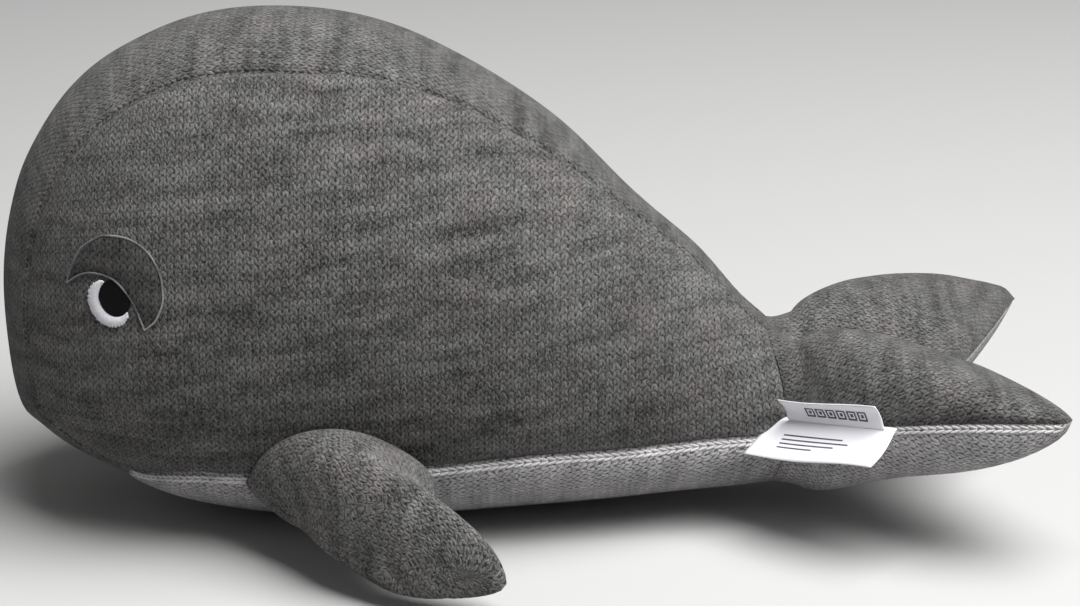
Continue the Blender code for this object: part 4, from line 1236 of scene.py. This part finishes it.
tail_gives = ((body_end_x, 0, tail_height), (body_end_x + tail_give, 0, tail_height))
fluke_stuffings = []
for hand, name in ((-1, "left"), (1, "right")):
    upper, lower = (fluke_face(top, hand, np.linspace(1, 0, 17), filling_depth)[len(seam_crowd) - 1 :]
                    for top in (True, False))
    ring = np.concatenate([upper, lower[:, ::-1]], axis=1)
    ring[..., 1] = hand * np.maximum(hand * ring[..., 1], lobe_clear)
    stuffing = formed(f"fluke_stuffing_{name}", bowed(ring), fibre)
    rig.blend(stuffing, "body", "tail", *tail_gives)
    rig.replaces(stuffing, f"fluke_filling_{name}")
    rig.slot(stuffing, "filling")
    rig.padded(stuffing, fill=0.8)
    fluke_stuffings.append(stuffing)

_, _, fluke_from_start, fluke_from_end = fluke_stations()
fluke_skins = []
for top, name, finish, slot_name in (
    (True, "top", gusset_knit, "dark_knit"), (False, "under", light_knit, "light_knit"),
):
    grid = two_sided(*(spaced(fluke_face(top, hand, 1 - fine_steps), 26) for hand in (-1, 1)))
    places = np.stack([grid[2], run_along(grid[0][..., ::2]) + body_end_x], axis=-1)
    skin, area, points, normals = sewn_skin(
        f"fluke_{name}_skin", grid, places, (tail_hinge_x + fluke_length / 3, 0, tail_height + (-1 if top else 1)),
        finish, (0, -1), (0,), np.minimum(fluke_from_start, fluke_from_end), corners=((-1, 0), (-1, -1)))
    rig.blend(skin, "body", "tail", *tail_gives)
    fluke_skins.append(skin)
    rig.replaces(skin, f"fluke_{name}_panel")
    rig.slot(skin, slot_name)
    cut = cut_from(fluke_span + tail_root_radius, fluke_length, area)
    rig.sheet(skin, held="stretched", rests_on=fluke_stuffings, **cut)
    if not top:
        for side, side_name in ((0, "left"), (-1, "right")):
            braid = seam_braid(f"fluke_braid_{side_name}", points, normals, side, 18)
            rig.blend(braid, "body", "tail", *tail_gives)
            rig.slot(braid, "light_knit")


# Care label. One white satin ribbon, folded and caught in the seam of the left lobe near the body, so that it
# makes two leaves: a short upper one that stands up and a long lower one that hangs out. Plain marks, no words.
fold_start, fold_end = -0.0315, 0.0205
upper_leaf_width, lower_leaf_width = 0.0083, 0.0165
upper_leaf_start, upper_leaf_end = -0.0225, 0.0165
upper_lean, lower_droop = math.radians(66), math.radians(30)
sewn_in = 0.0018
ribbon_thickness = 0.00035
leaf_gap = 0.0005
fold_offset = 0.0030
leaf_bow = 0.0009
leaf_wave = 0.0008
leaf_wave_length = 0.0085
leaf_clear = 0.0007
fold_tilt = 0.09
loose_end = 0.0018
ribbon_give = 0.006
label_reach = 0.03
joints = {joint["name"]: joint for joint in frame["joints"]}
fold_place = Vector(joints["label_upper_fold"]["pos_m"])
fold_along = Vector(joints["label_upper_fold"]["axis"])
fold_out = Vector((fold_along.y, -fold_along.x, 0)).normalized()
if fold_out.y > 0:
    fold_out = -fold_out
fold_up = Vector((0, 0, 1))
fold_up = (fold_up - fold_along * fold_up.dot(fold_along) - fold_out * fold_up.dot(fold_out)).normalized()

satin_ribbon, ribbon_tree = new_material("white_satin_ribbon", 0.38, 0.15)
weave = node(ribbon_tree, "ShaderNodeUVMap", uv_map="knit").outputs[0]
weave = node(ribbon_tree, "ShaderNodeMapping", {"Vector": weave, "Scale": (5000, 1200, 1)}).outputs[0]
finished(satin_ribbon, (0.93, 0.92, 0.96), noise_in(ribbon_tree, weave, 1, 2)["Fac"], 0.00005, 0.5)
ink, ink_tree = new_material("grey_ink", 0.7)
ink_tree.nodes["Principled BSDF"].inputs["Base Color"].default_value = (0.10, 0.10, 0.12, 1)
symbol_start, symbol_spacing, symbol_size, symbol_rows = 0.009, 0.0042, 0.0034, (0.0018, 0.0052)
text_start, text_lines = 0.010, ((0.024, 0.0052), (0.027, 0.0070), (0.022, 0.0088), (0.014, 0.0106))
bar = 0.0005
mark_lift = 0.00004
mark_thickness = 0.00008

tail_surface = bmesh.new()
for skin in fluke_skins:
    tail_surface.from_mesh(skin.data)
tail_surface = BVHTree.FromBMesh(tail_surface)


def clear_of_tail(point):
    """How far a point must move out to lie clear of the tail's side."""
    start = Vector(point) + fold_out * label_reach
    hit = tail_surface.ray_cast(start, -fold_out, 2 * label_reach)
    return max(leaf_clear + label_reach - hit[3], 0) if hit[0] else 0


def leaf_points(alongs, outs, lift, width, lean, up):
    """Points of a leaf at distances along its fold and out from it, lifted off its upper side. It is bowed, waves a
    little towards its far edge, and lies against the tail's side where the tail swells."""
    share = np.clip(outs / width, 0, 1.2)

    def at(off):
        out = outs * math.cos(lean) - off * math.sin(lean)
        height = up * leaf_gap + outs * math.sin(lean) + off * math.cos(lean)
        height = height + fold_tilt * (fold_end - alongs)
        return (np.array(fold_place) + alongs[..., None] * np.array(fold_along)
                + (out[..., None] + fold_offset) * np.array(fold_out) + height[..., None] * np.array(fold_up))

    bow = up * leaf_bow * np.sin(math.pi * np.clip(share, 0, 1))
    bow = bow + leaf_wave * np.sin(alongs / leaf_wave_length) * share**2
    clear = np.array([clear_of_tail(point) for point in at(bow).reshape(-1, 3)]).reshape(outs.shape)
    clear = (clear + loose_end * (fold_end - alongs) / (fold_end - fold_start)) * np.clip(1 + outs / sewn_in, 0, 1)
    return at(bow + lift) + clear[..., None] * np.array(fold_out)


def printed(name, boxes, width, lean, up):
    """Plain marks printed on a leaf, each between two places along the fold and two out from it."""
    grids = []
    for start, end, near, far in boxes:
        alongs, outs = np.meshgrid(np.linspace(start, end, max(int((end - start) / 0.0015), 1) + 1), (near, far))
        low, high = (leaf_points(alongs, outs, -up * (ribbon_thickness / 2 + lift), width, lean, up)
                     for lift in (mark_lift, mark_lift + mark_thickness))
        grids.append(np.stack([low[0], high[0], high[1], low[1], low[0]]))
    marks = formed(name, grids, ink)
    for face in marks.data.polygons:
        face.use_smooth = False
    return marks


for name, width, lean, up, start, end in (
    ("upper", upper_leaf_width, upper_lean, 1, upper_leaf_start, upper_leaf_end),
    ("lower", lower_leaf_width, -lower_droop, -1, fold_start, fold_end),
):
    alongs, outs = np.meshgrid(np.linspace(start, end, 41), np.linspace(-sewn_in, width, 13))
    points = leaf_points(alongs, outs, 0, width, lean, up)
    leaf = formed(f"label_{name}_leaf", points, satin_ribbon, np.stack([alongs, outs], axis=-1),
                  (tail_hinge_x + 0.03, 0, tail_height))
    thicken(leaf, ribbon_thickness, 0)
    if name == "upper":
        boxes = []
        near, far = symbol_rows
        for left in start + symbol_start + symbol_spacing * np.arange(6):
            right = left + symbol_size
            boxes += [(left, right, near, near + bar), (left, right, far - bar, far),
                      (left, left + bar, near + bar, far - bar), (right - bar, right, near + bar, far - bar),
                      (left + 0.36 * symbol_size, right - 0.36 * symbol_size, near + 2.2 * bar, far - 2.2 * bar)]
    else:
        boxes = [(start + text_start, start + text_start + length, out, out + bar) for length, out in text_lines]
    marks = printed(f"label_{name}_print", boxes, width, lean, up)
    way = Vector(fold_out) * math.cos(lean) + Vector(fold_up) * math.sin(lean)
    fold = fold_place + fold_out * fold_offset
    for piece in (leaf, marks):
        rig.blend(piece, "tail", f"label_{name}", tuple(fold), tuple(fold + way * ribbon_give))
    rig.replaces(leaf, f"care_label_{name}")
    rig.slot(leaf, "white_satin")
    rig.sheet(leaf, flat=(width + sewn_in, end - start), held="folded", rests_on=fluke_stuffings, with_pieces=[marks])


# Flippers. Each is two panels sewn round their edge, dark above and light below, and caught in the belly seam. It
# is stuffed so full that its top swells up against the toy's side before it slopes out and down to the tip.
flipper_chord = 0.061
flipper_reach = 0.047
flipper_thickness = 0.032
flipper_sink = 0.019
flipper_sweep = 0.041
flipper_front_roundness, flipper_rear_roundness = 2.6, 1.75
flipper_lean = 0.15
flipper_clear = 0.0006
flipper_front_wrap = ((0.0, 0.5), (0.7, 0.35), (0.88, 0.0))
flipper_rear_wrap = ((0.0, 0.98), (0.45, 0.95), (0.7, 0.5), (0.88, 0.0))
nose_rise = 0.005
flipper_close_from, flipper_close_roundness = 0.86, 2.2
# For each share of the reach: sink and sweep of the rim, chord, and the top and the underside in thicknesses.
flipper_shares = (
    (0.00, 0.00, 0.00, 1.00, 0.03, -0.05), (0.06, 0.08, 0.04, 0.98, 0.40, -0.17),
    (0.12, 0.13, 0.08, 0.96, 0.57, -0.284), (0.25, 0.17, 0.15, 0.85, 0.66, -0.41),
    (0.40, 0.24, 0.23, 0.71, 0.65, -0.44), (0.60, 0.46, 0.36, 0.62, 0.55, -0.54),
    (0.78, 0.82, 0.67, 0.645, 0.33, -0.70), (0.91, 1.07, 0.91, 0.64, 0.09, -0.80),
    (1.00, 1.20, 1.06, 0.62, -0.06, -0.82),
)
flipper_curve = smooth_curve(flipper_shares)
flipper_knit = knit("flipper_heather_knit", (0.020, 0.020, 0.020), (0.29, 0.287, 0.276), (0.30, 0.28, 0.273))
flipper_rows = 30
give_angle = math.radians(30)
give_length = 0.016


def body_half_breadth(x, z):
    """How far the body's surface is from the toy's middle plane, behind the head's middle."""
    rim = np.where(z > middle_height(x), top_height(x), bottom_height(x))
    inward = np.clip((z - middle_height(x)) / (rim - middle_height(x)), 0, 1)
    return half_width(x) * (1 - inward**body_roundness) ** (1 / body_roundness)


def keep_off_body(points):
    """Moves a flipper's points out of the body: it lies against the body's side and can't sink into it."""
    hand = np.sign(points[..., 1].mean())
    side = body_half_breadth(points[..., 0], points[..., 2]) + flipper_clear
    kept = points.copy()
    kept[..., 1] = hand * np.maximum(hand * points[..., 1], side)
    return kept


def flipper_points(hand, reaches, rounds, inset=0.0):
    """Points of a flipper in its own frame, in rows out to the tip. Rounds go round each section in quarters: from
    -1 at the front rim over the top at 0 to 1 at the rear rim, and on to -2 and 2 at the middle of the underside."""
    sink, sweep, chord, above, below = [
        np.interp(reaches, flipper_curve[:, 0], flipper_curve[:, column]) for column in range(1, 6)]
    rim = -sink * flipper_sink
    closing = np.clip((reaches - flipper_close_from) / (1 - flipper_close_from), 0, 1)
    closing = (1 - closing**flipper_close_roundness) ** (1 / flipper_close_roundness)
    rim = rim + nose_rise * (1 - closing)
    half = np.maximum(chord * flipper_chord / 2 * closing - inset, 0)[:, None]
    top = np.maximum((above * flipper_thickness - rim) * closing - inset, 0)[:, None]
    under = np.minimum((below * flipper_thickness - rim) * closing + inset, 0)[:, None]
    is_top = np.abs(rounds) <= 1
    shares = np.where(is_top, np.abs(rounds), 2 - np.abs(rounds))
    roundness = np.where((rounds > 0) & is_top, flipper_rear_roundness, flipper_front_roundness)
    inward, outward = quarter(shares, roundness)
    forward = np.sign(rounds) * outward * (1 + flipper_lean * np.sign(rounds)) - flipper_lean
    along = (sweep * flipper_sweep)[:, None] + half * forward
    height = rim[:, None] + np.where(is_top, top, under) * inward
    across = np.broadcast_to(hand * flipper_reach * reaches[:, None], along.shape)
    return np.stack([along, across, height], axis=-1)


def flattened(points, places, passes=1500):
    """Places on the cloth for a grid of points, eased until each lies as far from its neighbours as on the toy."""
    here, there = slice(1, None), slice(None, -1)
    every = slice(None)
    pairs = [((every, here), (every, there)), ((here, every), (there, every)), ((here, here), (there, there)),
             ((here, there), (there, here))]
    lengths = [np.linalg.norm(points[one] - points[other], axis=-1) for one, other in pairs]
    spots, shares = places.copy(), np.zeros(points.shape[:2])
    for one, other in pairs:
        shares[one] += 1
        shares[other] += 1
    for _ in range(passes):
        moves = np.zeros_like(spots)
        for (one, other), length in zip(pairs, lengths):
            apart = spots[one] - spots[other]
            now = np.maximum(np.linalg.norm(apart, axis=-1), 1e-9)
            push = apart * ((length - now) / now / 2)[..., None]
            moves[one] += push
            moves[other] -= push
        spots += 1.3 * moves / shares[..., None]
    return spots


for hand, name in ((-1, "left"), (1, "right")):
    joint = joints[f"flipper_{name}_bend"]
    along = Vector(joint["axis"]) * hand
    across = Vector((0, 1, 0))
    across = (across - along * across.dot(along)).normalized()
    up = along.cross(across)
    turn = np.array((along, across, up))
    origin = Vector(joint["pos_m"])
    give = across * hand * math.cos(give_angle) - up * math.sin(give_angle)
    gives = (tuple(origin), tuple(origin + give * give_length))

    reaches = np.linspace(0.09, 0.94, 25)
    ring = flipper_points(hand, reaches, np.linspace(-2, 2, 65), filling_depth) @ turn + origin
    ring = keep_off_body(ring - (0, hand * filling_depth, 0)) + (0, hand * filling_depth, 0)
    stuffing = formed(f"flipper_stuffing_{name}", ring, fibre)
    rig.blend(stuffing, "body", f"flipper_{name}", *gives)
    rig.replaces(stuffing, f"flipper_filling_{name}")
    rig.slot(stuffing, "filling")
    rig.padded(stuffing, fill=0.9)

    near_root = np.array(seam_crowd) / flipper_reach
    near_tip = 1 - (1 - flipper_close_from) * np.linspace(1, 0, 16)[1:] ** 2
    reaches = np.concatenate([near_root, np.linspace(near_root[-1], flipper_close_from, flipper_rows)[1:], near_tip])
    from_root = reaches * flipper_reach
    grain = math.atan2(flipper_sweep, flipper_reach)
    for top, face_name, finish, slot_name in ((True, "top", flipper_knit, "dark_knit"),
                                              (False, "under", light_knit, "light_knit")):
        middle_round = 0 if top else 2
        halves = []
        for side, wraps in ((-1, flipper_front_wrap), (1, flipper_rear_wrap)):
            rim_round = 2 - np.interp(reaches, *zip(*wraps))[:, None]
            rounds = side * (rim_round + (middle_round - rim_round) * fine_steps)
            halves.append(spaced(flipper_points(hand, reaches, rounds) @ turn + origin, 18))
        grid = two_sided(*halves)
        out = run_along(grid[0][..., 1:])
        chordwise = grid[2] + np.interp(reaches, flipper_curve[:, 0], flipper_curve[:, 2])[:, None] * flipper_sweep
        places = flattened(grid[0], np.stack([chordwise * math.cos(grain) - out * math.sin(grain),
                                              chordwise * math.sin(grain) + out * math.cos(grain)], axis=-1))
        skin, area, _, _ = sewn_skin(
            f"flipper_{face_name}_skin_{name}", grid, places,
            tuple(origin + across * hand * flipper_reach / 2 + Vector((0, 0, -0.2 if top else 0.2))), finish, (0, -1),
            (), from_root, keep_off_body, corners=((-1, 0),))
        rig.blend(skin, "body", f"flipper_{name}", *gives)
        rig.replaces(skin, f"flipper_{face_name}_{name}")
        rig.slot(skin, slot_name)
        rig.sheet(skin, held="stretched", rests_on=[stuffing], **cut_from(flipper_chord, flipper_reach, area))


visual_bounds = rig.bounds()
with open("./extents.json", "w") as sizes:
    json.dump({"cad": [list(corner) for corner in cad_bounds],
               "visual": [list(corner) for corner in visual_bounds]}, sizes)
